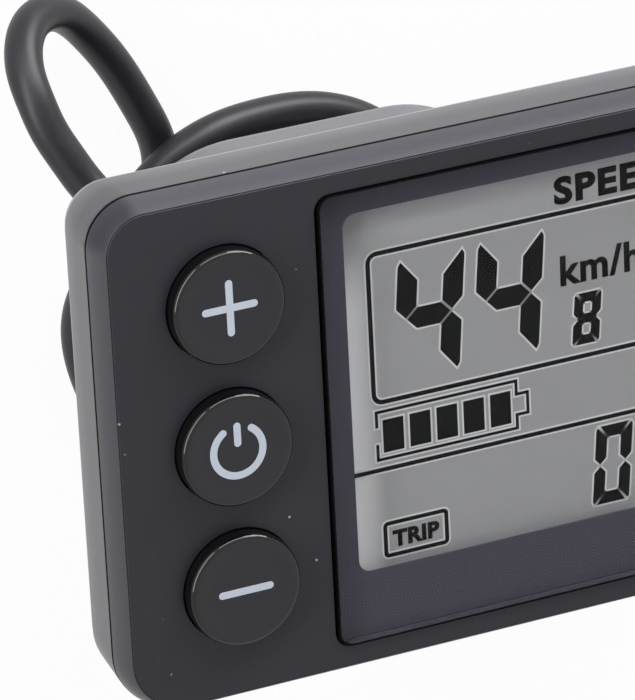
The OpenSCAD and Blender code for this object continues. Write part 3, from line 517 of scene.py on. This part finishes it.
def new_material(name, colour, roughness, **more):
    """A material with one Principled shader: its plain values go straight on the shader's sockets."""
    material = bpy.data.materials.new(name)
    material.use_nodes = True
    tree = material.node_tree
    shader = tree.nodes["Principled BSDF"]
    for key, value in {"Base Color": colour, "Roughness": roughness, **spaced(more)}.items():
        feed(tree, shader.inputs[key], value)
    return material, tree, shader


def grained(name, colour, roughness, size=0.25, bump=0.2, uneven=0.12, specks=0.0, shade_above=None,
            shade_below=None, side_light_tone=None, back_light_gain=None, **more):
    """Moulded finish: grain in the bump, a faint unevenness in colour and roughness, and dust.

    A rim may be dark above or below a height: painted shade inside the parting groove. The sides may be
    painted paler than what faces up, as light, less so round two of the corners, which keep a painted shade,
    and the back's pedestal painted paler than the case, as light, with a painted highlight line at the case's
    back edge."""
    material, tree, shader = new_material(name, colour, roughness, **more)
    grain = from_group(tree, GRAIN, Size_mm=size)
    add_bump(tree, shader, grain["Height"], bump, size * 0.1)
    set_roughness(tree, shader, grain["Unevenness"], 0.12, roughness - 0.06)
    tone = blended(tree, grain["Unevenness"], times(colour, 1 - uneven), times(colour, 1 + uneven))
    if specks:
        tone = dusted(tree, tone, 0.8, SPECK_TONE, Share=specks, Speck_mm=0.13)
    # Painted light: sides paler than what faces up; painted shade: two corners kept darker than the sides
    if side_light_tone:
        way = axes(tree, "ShaderNodeNewGeometry", "Normal")
        side = ramp(tree, way["Z"], *SIDE_LIGHT_FADE)
        slant = maths(tree, "MULTIPLY", way["X"], way["Y"])
        corner = ramp(tree, slant, *CORNER_SHADE_FADE, CORNER_SHADE, "LINEAR")
        share = maths(tree, "MULTIPLY", side, maths(tree, "SUBTRACT", 1.0, corner))
        tone = blended(tree, share, tone, side_light_tone)
    z = axes(tree, "ShaderNodeTexCoord", "Object")["Z"]
    # Painted light: the back and its pedestal paler, then a painted highlight line at the back edge
    if back_light_gain:
        tone = blended(tree, ramp(tree, z, *times(BACK_LIGHT_Z, MM)), tone, times(colour, back_light_gain))
        tone = blended(tree, maths(tree, "COMPARE", z, *times(HIGHLIGHT_LINE_Z, MM)), tone, HIGHLIGHT_LINE_TONE)
    # Painted shade: black inside the parting groove
    for limit, test in ((shade_above, "GREATER_THAN"), (shade_below, "LESS_THAN")):
        if limit:
            tone = blended(tree, maths(tree, test, z, limit * MM), tone, GROOVE_SHADE_TONE)
    feed(tree, shader.inputs["Base Color"], tone)
    return material


def key_finish():
    """Keys: glossy black walls and a matte, slightly paler top, told apart by the way the surface faces."""
    material, tree, shader = new_material("key_finish", KEY_WALL_TONE, 0.09, Specular_IOR_Level=0.4)
    top = ramp(tree, axes(tree, "ShaderNodeNewGeometry", "Normal")["Z"], *KEY_TOP_Z, interpolation="LINEAR")
    tone = blended(tree, top, KEY_WALL_TONE, KEY_TOP_TONE)
    tone = dusted(tree, tone, 0.5, KEY_SPECK_TONE, Share=0.2, Speck_mm=0.08, Cell_mm=1.8)
    feed(tree, shader.inputs["Base Color"], tone)
    set_roughness(tree, shader, top, 0.42, 0.09)
    add_bump(tree, shader, from_group(tree, GRAIN, Size_mm=0.2)["Height"], 0.06, 0.02)
    return material


def lens_finish():
    """Clear acrylic that lets lamps through to what is under it."""
    material, tree, shader = new_material(
        "lens_finish", (0.98, 0.985, 1.0), 0.02, IOR=1.12, Transmission_Weight=1.0)
    shadow = node(tree, "ShaderNodeLightPath").outputs["Is Shadow Ray"]
    mixed_surface(tree, shadow, shader, node(tree, "ShaderNodeBsdfTransparent"))
    return material


def display_finish():
    """Liquid crystal cell: grey, with painted light along its left and upper edges, and a very fine even
    grain.

    The left edge's tone is full only further down. Where both edges' tones lie, the stronger one holds."""
    material, tree, shader = new_material("display_finish", GLASS_TONES[0], 0.5, Specular_IOR_Level=0.2)
    place = axes(tree, "ShaderNodeTexCoord", "Object")
    low, high = (np.array(c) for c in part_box("lens_mask"))
    left = ramp(tree, place["X"], *(low[0] + np.array(LEFT_GLOW) * MM))
    down = ramp(tree, place["Y"], *(high[1] - np.array(LEFT_GLOW_DOWN) * MM))
    head = ramp(tree, place["Y"], *(high[1] - np.array(HEAD_GLOW) * MM))
    left = maths(tree, "MULTIPLY", left, maths(tree, "MAXIMUM", down, LEFT_GLOW_LEAST))
    glow = maths(tree, "MAXIMUM", left, maths(tree, "MULTIPLY", head, HEAD_GLOW_SHARE))
    tone = blended(tree, from_group(tree, GRAIN, Size_mm=0.35)["Unevenness"], *GLASS_TONES)
    # Painted light: the glass paler near the left and upper edges of the border
    feed(tree, shader.inputs["Base Color"], blended(tree, glow, tone, PAINTED_GLOW_TONE))
    return material


def lead_finish():
    """Jacket of the lead: soft matte black with faint lengthwise and crosswise unevenness."""
    material, tree, shader = new_material("lead_finish", LEAD_TONES[0], 0.34, Specular_IOR_Level=0.36)
    along = node(tree, "ShaderNodeTexNoise", {
        "Vector": node(tree, "ShaderNodeTexCoord").outputs["UV"], "Scale": 9.0, "Detail": 4.0,
        "Roughness": 0.6}).outputs["Fac"]
    feed(tree, shader.inputs["Base Color"], blended(tree, along, *LEAD_TONES))
    set_roughness(tree, shader, along, 0.12, 0.34)
    add_bump(tree, shader, from_group(tree, GRAIN, Size_mm=0.18)["Height"], 0.12, 0.02)
    return material


def board_finish():
    """Green solder mask over faint copper tracks: straight tracks from a brick pattern show in tone only."""
    material, tree, shader = new_material("board_finish", (0.01, 0.09, 0.04), 0.35)
    tracks = node(tree, "ShaderNodeTexBrick", {
        "Vector": node(tree, "ShaderNodeTexCoord").outputs["Object"], "Color1": (0.008, 0.07, 0.03),
        "Color2": (0.01, 0.085, 0.035), "Mortar": (0.02, 0.14, 0.06), "Scale": 120.0, "Mortar Size": 0.06})
    feed(tree, shader.inputs["Base Color"], tracks.outputs["Color"])
    return material


def steel_finish():
    """Zinc-plated steel, unevenly polished."""
    material, tree, shader = new_material("steel_finish", (0.45, 0.45, 0.46), 0.2, Metallic=1.0)
    set_roughness(tree, shader, from_group(tree, GRAIN, Size_mm=0.15)["Unevenness"], 0.25, 0.2)
    return material


BLACK_MARK = grained("mark_black", (0.003, 0.003, 0.003), 0.5, size=0.4, bump=0.0, uneven=0.1,
                     Specular_IOR_Level=0.05)
PALE_MARGIN = grained("mark_margin", (0.42, 0.42, 0.42), 0.5, size=0.4, bump=0.0, uneven=0.05,
                      Specular_IOR_Level=0.2)
SIGN_PRINT = grained("sign_print", (0.56, 0.62, 0.71), 0.5, size=0.2, bump=0.05, uneven=0.06)

# The case's finishes carry painted shade in the groove and painted light on the sides and back
FINISHES = {
    "front_case": grained("front_case_finish", (0.0215, 0.021, 0.0285), 0.4, specks=0.45,
                          shade_below=GROOVE_TOP, side_light_tone=(0.056, 0.0545, 0.064), Specular_IOR_Level=0.28,
                          Sheen_Weight=0.2, Sheen_Roughness=0.3),
    "rear_case": grained("rear_case_finish", (0.054, 0.053, 0.059), 0.4, specks=0.1, shade_above=GROOVE_Z,
                         back_light_gain=2.3, Sheen_Weight=0.06, Sheen_Roughness=0.35),
    "key_gloss": key_finish(),
    "lens": lens_finish(),
    "dark_print": grained("mask_print", (0.032, 0.0305, 0.043), 0.3, size=0.5, bump=0.0, uneven=0.08,
                          Specular_IOR_Level=0.2),
    "tape": grained("tape_finish", (0.03, 0.03, 0.03), 0.6),
    "black_rubber": grained("black_rubber_finish", (0.012, 0.012, 0.012), 0.6, size=0.2, bump=0.3),
    "grey_silicone": grained("silicone_finish", (0.2, 0.2, 0.205), 0.55, size=0.3),
    "switch_metal": grained("switch_finish", (0.5, 0.5, 0.48), 0.35, bump=0.05, Metallic=0.8),
    "display_glass": display_finish(),
    "white_plastic": grained("white_plastic_finish", (0.75, 0.75, 0.72), 0.4, bump=0.05, uneven=0.03),
    "gold_pins": grained("pin_finish", (0.75, 0.55, 0.22), 0.25, bump=0.02, Metallic=1.0),
    "green_board": board_finish(),
    "chip_black": grained("chip_finish", (0.02, 0.02, 0.02), 0.5, size=0.12),
    "capacitor_tan": grained("capacitor_finish", (0.32, 0.2, 0.1), 0.45, bump=0.05),
    "cream_plastic": grained("cream_plastic_finish", (0.66, 0.62, 0.5), 0.4, bump=0.05, uneven=0.04),
    "wire_red": grained("wire_finish", (0.4, 0.03, 0.02), 0.4, bump=0.05),
    "lead_jacket": grained("lead_jacket_finish", (0.03, 0.03, 0.031), 0.45, size=0.18),
    "steel": steel_finish()}


# Lead

def smooth_route(points, first_way, last_way, step):
    """Natural cubic curve through the points by chord length, with a straight start and end.

    The second derivatives solve one banded set of equations, and the curve is read at even steps."""
    p = np.asarray(points, float)
    t = np.concatenate([[0], np.cumsum(np.linalg.norm(np.diff(p, axis=0), axis=1))])
    h = np.diff(t)
    n = len(p)
    a = np.zeros((n, n))
    b = np.zeros((n, 3))
    k = np.arange(1, n - 1)
    a[k, k - 1] = h[:-1]
    a[k, k] = 2 * (h[:-1] + h[1:])
    a[k, k + 1] = h[1:]
    slope = np.diff(p, axis=0) / h[:, None]
    b[1:-1] = 6 * np.diff(slope, axis=0)
    a[0, :2] = 2 * h[0], h[0]
    b[0] = 6 * (slope[0] - np.array(first_way))
    a[-1, -2:] = h[-1], 2 * h[-1]
    b[-1] = 6 * (np.array(last_way) - slope[-1])
    m = np.linalg.solve(a, b)
    s = np.linspace(0, t[-1], int(round(t[-1] / step)) + 1)
    i = np.clip(np.searchsorted(t, s, side="right") - 1, 0, n - 2)
    left = (s - t[i])[:, None]
    right = (t[i + 1] - s)[:, None]
    w = h[i][:, None]
    return ((m[i] * right ** 3 + m[i + 1] * left ** 3) / (6 * w)
            + (p[i] / w - m[i] * w / 6) * right + (p[i + 1] / w - m[i + 1] * w / 6) * left)


def tube_along(path, radius, sides):
    """Circle carried along a path: its frame turns as little as it can from ring to ring."""
    way = np.gradient(path, axis=0)
    way /= np.linalg.norm(way, axis=1)[:, None]
    side = np.empty_like(way)
    side[0] = np.cross(way[0], (0, 0, 1))
    side[0] /= np.linalg.norm(side[0])
    for k in range(1, len(path)):
        kept = side[k - 1] - way[k] * np.dot(side[k - 1], way[k])
        side[k] = kept / np.linalg.norm(kept)
    other = np.cross(way, side)
    turn = np.linspace(0, 2 * math.pi, sides, endpoint=False)
    ring = np.cos(turn)[None, :, None] * side[:, None] + np.sin(turn)[None, :, None] * other[:, None]
    return path[:, None] + radius * ring


def add_lead():
    """The free stretch of the lead, from the gland's mouth to the plug."""
    route = [GLAND_MOUTH] + LEAD_ROUTE
    path = smooth_route(np.array(route) * MM, GLAND_WAY, PLUG_WAY, LEAD_STEP * MM)
    points = tube_along(path, LEAD_D * MM / 2, LEAD_SIDES)
    rows = len(path)
    along = np.repeat(np.linspace(0, rows * LEAD_STEP, rows) / UV_LENGTH, LEAD_SIDES)
    around = np.tile(np.linspace(0, 1, LEAD_SIDES), rows)
    lead = new_object("lead", points.reshape(-1, 3), capped_faces(rows, LEAD_SIDES), lead_finish(),
                      uv=np.stack([along, around], axis=1))
    hold(lead, replaced="display_lead")


# Marks of the liquid crystal glass

def digit_bars(width, height, bar, gap, which):
    """Outlines of a seven-bar digit with pointed bars: a top, b c right, d foot, e f left, g middle.

    The foot mirrors the top, the lower left bar the upper left one, and the right bars the left ones."""
    half = height / 2
    b = bar
    c = b / 2
    g = gap / 2
    tip = 2 * g + c * 0.3
    shapes = {
        "a": [(tip, height), (width - tip, height), (width - b - g, height - b), (b + g, height - b)],
        "g": [(c + g, half), (b + g, half + c), (width - b - g, half + c), (width - c - g, half),
              (width - b - g, half - c), (b + g, half - c)],
        "f": [(0, height - b * 0.3), (c * 0.25, height - g), (b, height - b - g), (b, half + c + g),
              (c, half + g), (0, half + c + g)]}
    for name, like in ("da", "ef"):
        shapes[name] = [(x, height - y) for x, y in shapes[like]]
    for name, like in ("bf", "ce"):
        shapes[name] = [(width - x, y) for x, y in shapes[like]]
    made = []
    for name in which:
        line = np.array(shapes[name])
        area = np.dot(line[:, 0], np.roll(line[:, 1], -1)) - np.dot(np.roll(line[:, 0], -1), line[:, 1])
        made.append(line if area > 0 else line[::-1])
    return made


def text_mark(name, words, left, base, height, width, thick, spread, z):
    """Letters as a thin plate: Blender's own plain font, scaled to a cap height and a width."""
    curve = bpy.data.curves.new(name, "FONT")
    curve.body = words
    curve.size = 1
    curve.offset = thick
    curve.space_character = spread
    curve.resolution_u = 4
    letters = placed(name, curve)
    bpy.context.view_layer.update()
    mesh = bpy.data.meshes.new_from_object(letters)
    bpy.data.objects.remove(letters)
    points = points_of(mesh)
    low = points.min(axis=0)
    size = np.maximum(points.max(axis=0) - low, 1e-9)
    flat = (points - low) / size * (width, height, 0) + (left, base, z + MARK_T)
    mesh.vertices.foreach_set("co", (flat * MM).ravel())
    mesh.update()
    mesh.materials.clear()
    mesh.materials.append(BLACK_MARK)
    made = placed(name, mesh)
    wall = made.modifiers.new("thickness", "SOLIDIFY")
    wall.thickness = MARK_T * MM
    wall.offset = -1
    return made


def add_display_marks():
    """Digits, frames, battery and words on the glass's film, black with a pale margin under each."""
    low, high = box_mm("display_glass")
    z = high[2] + FILM_T
    film = Marks()
    film.plate(rounded_outline(low[:2], high[:2], FILM_R), high[2] + FILM_GAP, z)
    hold(film.make("polarising_film", FINISHES["display_glass"]))
    black = Marks()
    pale = Marks()

    def mark(outline):
        """One black plate on a slightly wider pale one."""
        pale.plate(widened(outline, MARGIN), z, z + MARK_T / 2)
        black.plate(outline, z, z + MARK_T)

    def rectangle(left, foot, right, head):
        """A mark with four corners."""
        mark([(left, foot), (right, foot), (right, head), (left, head)])

    def line_ring(left, foot, right, head, radius, width):
        """A rounded frame of one line width, with its pale margin."""
        outer = rounded_outline((left, foot), (right, head), radius)
        inner = rounded_outline((left + width, foot + width), (right - width, head - width),
                                max(radius - width, 0.05))
        black.ring(outer, inner, z, z + MARK_T)
        pale.ring(widened(outer, MARGIN), widened(inner, -MARGIN), z, z + MARK_T / 2)

    for digit, bars, places in DIGITS:
        for place in places:
            for bar in digit_bars(*digit, bars):
                mark(bar + bar[:, 1:] * (SLANT, 0) + place)
    line_ring(*SPEED_BOX, SPEED_BOX_LINE)
    line_ring(*TRIP_BOX, TRIP_BOX_LINE)
    mask_low, mask_high = box_mm("lens_mask")
    foot = DIVIDER_Y - DIVIDER_LINE / 2
    rectangle(mask_low[0] + DIVIDER_INSET, foot, mask_high[0] - DIVIDER_INSET, foot + DIVIDER_LINE)
    for k in range(BAR_COUNT):
        x, y = BAR_START[0] + k * BAR_PITCH, BAR_START[1]
        rectangle(x, y, x + BAR_W, y + BAR_H)
    x0, y0, x1, y1 = BATTERY
    nub_x, nub_y = BATTERY_NUB
    w = BATTERY_LINE
    mid = (y0 + y1) / 2
    inside = [(x0, mid + BATTERY_SLIT), (x0 + w, mid + BATTERY_SLIT), (x0 + w, y1 - w), (x1 - w, y1 - w),
              (x1 - w, nub_y - w), (nub_x - w, nub_y - w)]
    outside = [(nub_x, nub_y), (x1, nub_y), (x1, y1), (x0, y1)]
    lower = [(x, 2 * mid - y) for x, y in outside + inside][::-1]
    mark(inside + lower + outside)
    hold(pale.make("mark_margins", PALE_MARGIN))
    hold(black.make("display_marks", BLACK_MARK))
    for word in WORDS:
        hold(text_mark(*word, z))


# Shells and keys

def creased(name, mesh, crease, material):
    """An object of a closed mesh, smooth up to a crease angle."""
    mesh.polygons.foreach_set("use_smooth", np.ones(len(mesh.polygons), bool))
    mesh.set_sharp_from_angle(angle=math.radians(crease))
    mesh.materials.clear()
    mesh.materials.append(material)
    return placed(name, mesh)


def add_bevel(obj, name, width, segments, crease=None):
    """Rounds the edges from a crease angle on, or without one the edges that are marked."""
    bevel = obj.modifiers.new(name, "BEVEL")
    bevel.width = width * MM
    bevel.segments = segments
    if crease is None:
        bevel.limit_method = "WEIGHT"
        bevel.use_clamp_overlap = False
    else:
        bevel.limit_method = "ANGLE"
        bevel.angle_limit = math.radians(crease)
    return bevel


def finished(name, mesh, crease, edge, material, rounded=None):
    """A closed mesh with a fine rounded edge at each crease. Edges marked in rounded get a wide one first."""
    obj = creased(name, mesh, crease, material)
    if rounded is not None:
        weights = mesh.attributes.new("bevel_weight_edge", "FLOAT", "EDGE")
        weights.data.foreach_set("value", rounded.astype(float))
        add_bevel(obj, "rounding", BACK_ROUND, segments=5)
    add_bevel(obj, "edges", edge, segments=3, crease=crease)
    weighted = obj.modifiers.new("flat_faces_lead", "WEIGHTED_NORMAL")
    weighted.weight = 90
    weighted.keep_sharp = False
    return obj


def block_mesh(name, outline, outward, profile):
    """Outline carried up a profile of insets and heights, with a face at each end."""
    inset, height = np.asarray(profile, float).T
    ring = outline[None] - inset[:, None, None] * outward[None]
    rows, columns = ring.shape[:2]
    points = np.concatenate([ring, np.broadcast_to(height[:, None, None], (rows, columns, 1))], axis=2)
    return new_mesh(name, points.reshape(-1, 3) * MM, capped_faces(rows, columns))


def upright(name, outline, z0, z1):
    """A straight block of an outline, to cut with."""
    return block_mesh(name, outline, np.zeros_like(outline), [(0, z0), (0, z1)])


def cut_out(mesh, cutters):
    """The mesh less every cutter, worked out exactly."""
    body = placed("body", mesh)
    tools = [placed("tool", cutter) for cutter in cutters]
    for tool in tools:
        step = body.modifiers.new("cut", "BOOLEAN")
        step.operation = "DIFFERENCE"
        step.solver = "EXACT"
        step.object = tool
    bpy.context.view_layer.update()
    made = bpy.data.meshes.new_from_object(body.evaluated_get(bpy.context.evaluated_depsgraph_get()))
    for obj in [body] + tools:
        bpy.data.objects.remove(obj)
    return made


def add_front_shell():
    """The face plate: its rim rises in one soft curve from the parting line to a crisp edge at the face.

    Curve of the rim: a cubic Bezier curve of inset and height through RIM_SHARES. A fine V-shaped line runs
    along the face's edge."""
    low, high = box_mm("front_shell")
    lens_low, lens_high = box_mm("lens")
    tape_low, _ = box_mm("lens_adhesive")
    top = high[2]
    under = top - FRONT_WALL
    outline, outward = case_outline(low, high, UPPER_R, LOWER_R)
    t = np.linspace(0, 1, RIM_ROWS)[:, None]
    handles = np.array(RIM_SHARES) * np.array([FACE_INSET, top - SEAM_Z]) + np.array([0, SEAM_Z])
    profile = ((1 - t) ** 3 * handles[0] + 3 * (1 - t) ** 2 * t * handles[1]
               + 3 * (1 - t) * t ** 2 * handles[2] + t ** 3 * handles[3])
    line = [(FACE_INSET + LINE_W / 2, top - LINE_DEEP), (FACE_INSET + LINE_W, top)]
    body = block_mesh("front_shell_skin", outline, outward, np.vstack([profile, line]))
    inner, _ = case_outline(low[:2] + SIDE_WALL, high[:2] - SIDE_WALL, UPPER_R - SIDE_WALL,
                            LOWER_R - SIDE_WALL)
    pocket = rounded_outline(lens_low[:2] - LENS_GAP, lens_high[:2] + (LENS_GAP, HEAD_GAP), LENS_R, spread=2)
    opening = rounded_outline(np.array(WINDOW[:2]) - OPENING, np.array(WINDOW[2:]) + OPENING, WINDOW_R,
                              steps=6, spread=2)
    cutters = [upright("cavity", inner, SEAM_Z - CUT_PAST, under),
               upright("pocket", pocket, tape_low[2], top + CUT_PAST),
               upright("opening", opening, under - CUT_PAST, top + CUT_PAST)]
    circle = ways(np.linspace(0, 2 * math.pi, 96, endpoint=False))
    for sign in KEY_SIGNS:
        key_low, key_high = box_mm(sign + "_button")
        r = (key_high[0] - key_low[0]) / 2 - FLANGE_W + KEY_GAP
        hole = (key_low[:2] + key_high[:2]) / 2 + r * circle
        cutters.append(upright("hole", hole, under - CUT_PAST, top + CUT_PAST))
    shell = finished("front_shell_dressed", cut_out(body, cutters), FRONT_CREASE, FRONT_EDGE,
                     FINISHES["front_case"])
    hold(shell, replaced="front_shell")


def add_rear_shell():
    """The rear shell's own mesh, joined up, with fine rounded edges and a wider rounding at its back edge."""
    joined = bmesh.new()
    joined.from_mesh(frame["nodes"]["rear_shell"].data)
    bmesh.ops.remove_doubles(joined, verts=joined.verts, dist=WELD_GAP * MM)
    bmesh.ops.dissolve_limit(joined, angle_limit=math.radians(FLAT_ANGLE), verts=joined.verts,
                             edges=joined.edges)
    mesh = bpy.data.meshes.new("rear_shell_dressed")
    joined.to_mesh(mesh)
    joined.free()
    if "custom_normal" in mesh.attributes:
        mesh.attributes.remove(mesh.attributes["custom_normal"])
    ends = np.empty(len(mesh.edges) * 2, int)
    mesh.edges.foreach_get("vertices", ends)
    place = points_of(mesh)[ends.reshape(-1, 2)] / MM
    outside = (np.abs(place[:, :, :2]) > BACK_REACH).any(axis=2).all(axis=1)
    level = [(np.abs(place[:, :, 2] - z) < CREASE_SLACK).all(axis=1) for z in BACK_CREASES]
    shell = finished("rear_shell_dressed", mesh, BACK_CREASE, BACK_EDGE, FINISHES["rear_case"],
                     outside & np.any(level, axis=0))
    hold(shell, replaced="rear_shell")


def revolved(name, profile, centre, material, columns=96):
    """Profile of radii and heights turned about an upright axis, with a fan of triangles at each pole."""
    radius, height = np.asarray(profile, float)[1:-1].T
    turn = np.linspace(0, 2 * math.pi, columns, endpoint=False)
    x = centre[0] + radius[:, None] * np.cos(turn)[None]
    y = centre[1] + radius[:, None] * np.sin(turn)[None]
    z = np.broadcast_to(height[:, None], x.shape)
    points = np.stack([x, y, z], axis=-1).reshape(-1, 3)
    n = len(points)
    poles = np.array([(centre[0], centre[1], profile[0][1]), (centre[0], centre[1], profile[-1][1])])
    j = np.arange(columns)
    foot = np.column_stack([np.full(columns, n), (j + 1) % columns, j])
    head = np.column_stack([np.full(columns, n + 1), n - columns + j, n - columns + (j + 1) % columns])
    faces = grid_faces(len(radius), columns) + foot.tolist() + head.tolist()
    return new_object(name, np.vstack([points, poles]) * MM, faces, material)


def key_profile(r, flange_z, flange_top, top):
    """Cap from the middle of its underside out over the flange, up the wall, over a round rim into a dish.

    Rim: a quarter circle. Dish: the depth grows by half a cosine wave from the rim to the flat middle."""
    turn = np.linspace(0, math.pi / 2, 10)
    rim = (r - KEY_EDGE, top - KEY_EDGE) + KEY_EDGE * ways(turn)
    share = np.linspace(0, 1, 14)
    outer = r - KEY_EDGE - KEY_LIP
    deep = DISH * (1 - np.cos(math.pi * share)) / 2
    dish = np.column_stack([outer + share * (DISH_FLAT_R - outer), top - deep])
    wide = r + FLANGE_W
    fine = KEY_BREAK
    return np.vstack([
        [(0, flange_z), (wide - fine, flange_z), (wide, flange_z + fine), (wide, flange_top - fine),
         (wide - fine, flange_top), (r + fine, flange_top), (r, flange_top + fine),
         (r, top - KEY_EDGE - KEY_WALL_ROW)], rim, dish, [(DISH_FLAT_R / 2, top - DISH), (0, top - DISH)]])


def add_lens():
    """The clear cover, with a fine round at its upper edge, a hair of air over the printed border and a black
    band of painted shade round its edge."""
    low, high = box_mm("lens")
    r = LENS_R - LENS_GAP
    left, foot, right, head = EDGE_SHADE_BAND
    clear_low, clear_high = low + (left, foot, 0), high - (right, head, 0)
    outer = rounded_outline(low, high, r, steps=10, spread=4)
    inner = rounded_outline(clear_low, clear_high, r, steps=10, spread=4)
    # Painted shade: a black band round the lens's edge, where its sides look dark
    edge = Marks()
    edge.ring(outer, inner, low[2] + LENS_AIR, high[2] - LENS_AIR)
    hold(edge.make("lens_edge_shade", BLACK_MARK))
    outline, outward = case_outline(clear_low + LENS_INSET, clear_high - LENS_INSET, r, r, steps=10,
                                    spread=4)
    turn = np.linspace(0, math.pi / 2, 6)
    top = np.column_stack([LENS_EDGE * (1 - np.cos(turn)), high[2] - LENS_EDGE * (1 - np.sin(turn))])
    mesh = block_mesh("lens_clear", outline, outward, np.vstack([[(0, low[2] + LENS_AIR)], top]))
    hold(creased("lens_clear", mesh, LENS_CREASE, FINISHES["lens"]), replaced="lens")


def add_keys():
    """The three caps, glossy at the wall and rim and matte on top."""
    flange_top = box_mm("front_shell")[1][2] - FRONT_WALL - FLANGE_AIR
    for sign in KEY_SIGNS:
        low, high = box_mm(sign + "_button")
        profile = key_profile((high[0] - low[0]) / 2 - FLANGE_W, low[2], flange_top, high[2])
        cap = revolved(sign + "_cap", profile, (low + high)[:2] / 2, FINISHES["key_gloss"])
        hold(cap, sign + "_key", sign + "_button")


# Signs on the keys

def capsule(a, b, width, steps=10):
    """Outline of a line from a to b with round ends."""
    a = np.array(a, float)
    b = np.array(b, float)
    heading = math.atan2(*(b - a)[::-1])
    turn = np.linspace(-math.pi / 2, math.pi / 2, steps + 1)
    end = ways(heading + turn) * width / 2
    return np.vstack([b + end, a - end])


def arc_band(radius, width, start, stop, steps=48, cap=8):
    """Outline of a round arc with round ends: outer edge, cap, inner edge, cap."""
    turn = np.radians(np.linspace(start, stop, steps))
    outer = ways(turn) * (radius + width / 2)
    inner = ways(turn)[::-1] * (radius - width / 2)

    def round_end(a, way):
        """Half circle at one end of the arc."""
        swing = np.linspace(0, math.pi, cap + 2)[1:-1]
        return radius * ways([a]) + width / 2 * ways(a + way + swing)

    return np.vstack([outer, round_end(turn[-1], 0), inner, round_end(turn[0], math.pi)])


def add_key_signs():
    """Plus, power and minus, each a thin print on its key's dished top."""
    arm = (SIGN_ARM - SIGN_LINE) / 2
    end = SIGN_LINE / 2
    across = (capsule((-arm, 0), (arm, 0), SIGN_LINE), 1)
    parts = {"plus": [across, (capsule((0, -arm), (0, -end), SIGN_LINE), UPRIGHT_SHARE),
                      (capsule((0, end), (0, arm), SIGN_LINE), UPRIGHT_SHARE)],
             "power": [(arc_band(POWER_R, SIGN_LINE, 90 + POWER_GAP, 450 - POWER_GAP), 1),
                       (capsule((0, POWER_FOOT), (0, POWER_R), SIGN_LINE), 1)],
             "minus": [across]}
    for sign in KEY_SIGNS:
        low, high = box_mm(sign + "_button")
        top = high[2] - DISH
        marks = Marks()
        for outline, share in parts[sign]:
            marks.plate(outline + (low[:2] + high[:2]) / 2, top, top + SIGN_T * share)
        hold(marks.make(sign + "_sign", SIGN_PRINT), sign + "_key")


# Finishes of the solids

def dress_solids():
    """Each solid gets its finish and, on the moulded pieces, a fine rounded edge that catches light."""
    slots = {part["node"]: part["material_slot"] for part in frame["record"]["subparts"]}
    for name, solid in frame["nodes"].items():
        material = FINISHES[slots[name]]
        if solid.material_slots:
            for place in solid.material_slots:
                place.material = material
        else:
            solid.data.materials.append(material)
        if name in SOLID_EDGES:
            solid.modifiers.new("weld", "WELD").merge_threshold = SOLID_WELD * MM
            bevel = add_bevel(solid, "edges", SOLID_EDGES[name], segments=2, crease=SOLID_CREASE)
            bevel.harden_normals = True


# Floor, world and lamps

def seen_mask(tree):
    """1 for rays from the camera, from gloss and through glass, and 0 for light that bounces on."""
    path = node(tree, "ShaderNodeLightPath").outputs
    seen = maths(tree, "MAXIMUM", path["Is Camera Ray"], path["Is Glossy Ray"])
    seen = maths(tree, "MAXIMUM", seen, path["Is Transmission Ray"])
    return maths(tree, "MULTIPLY", seen, maths(tree, "LESS_THAN", path["Diffuse Depth"], 0.5))


def add_floor():
    """White floor that keeps a soft share of the display's shadow."""
    material, tree, shader = new_material("floor_white", (0.9, 0.9, 0.9), 0.6, Specular_IOR_Level=0.1)
    glow = node(tree, "ShaderNodeEmission", {"Color": (1, 1, 1), "Strength": 1.0})
    mixed_surface(tree, maths(tree, "MULTIPLY", seen_mask(tree), FLOOR_GLOW), shader, glow)
    r = FLOOR_REACH
    corners = [(-r, -r, 0), (r, -r, 0), (r, r, 0), (-r, r, 0)]
    new_object("floor", corners, [(0, 1, 2, 3)], material, smooth=False)


def add_world():
    """Even surroundings: white where seen, and softer as light."""
    world = bpy.data.worlds.new("studio")
    bpy.context.scene.world = world
    world.use_nodes = True
    tree = world.node_tree
    back = tree.nodes["Background"].inputs
    feed(tree, back["Color"], (1, 1, 1))
    strength = maths(tree, "ADD", maths(tree, "MULTIPLY", seen_mask(tree), 1 - WORLD_LIGHT), WORLD_LIGHT)
    feed(tree, back["Strength"], strength)


def add_light():
    """Wide soft boxes at the left and behind, where the keys' rims mirror them, and a low one at the right.

    Each lamp is turned about Z and tilted about X so that it faces the target."""
    for name, way, distance, width, height, watts in SOFT_BOXES:
        data = bpy.data.lights.new(name, "AREA")
        data.shape = "RECTANGLE"
        data.size = width
        data.size_y = height
        data.energy = watts
        place = np.array(way, float) / np.linalg.norm(way) * distance
        x, y, z = np.array(LAMP_TARGET) - place
        lamp = placed(name, data)
        lamp.location = place
        tilt = math.atan2(z, math.hypot(x, y)) + math.pi / 2
        lamp.rotation_euler = (tilt, 0, math.atan2(y, x) - math.pi / 2)


add_camera()
add_lead()
dress_solids()
add_rear_shell()
add_front_shell()
add_lens()
add_keys()
add_display_marks()
add_key_signs()
add_floor()
add_world()
add_light()

bpy.context.scene.view_settings.view_transform = "Standard"
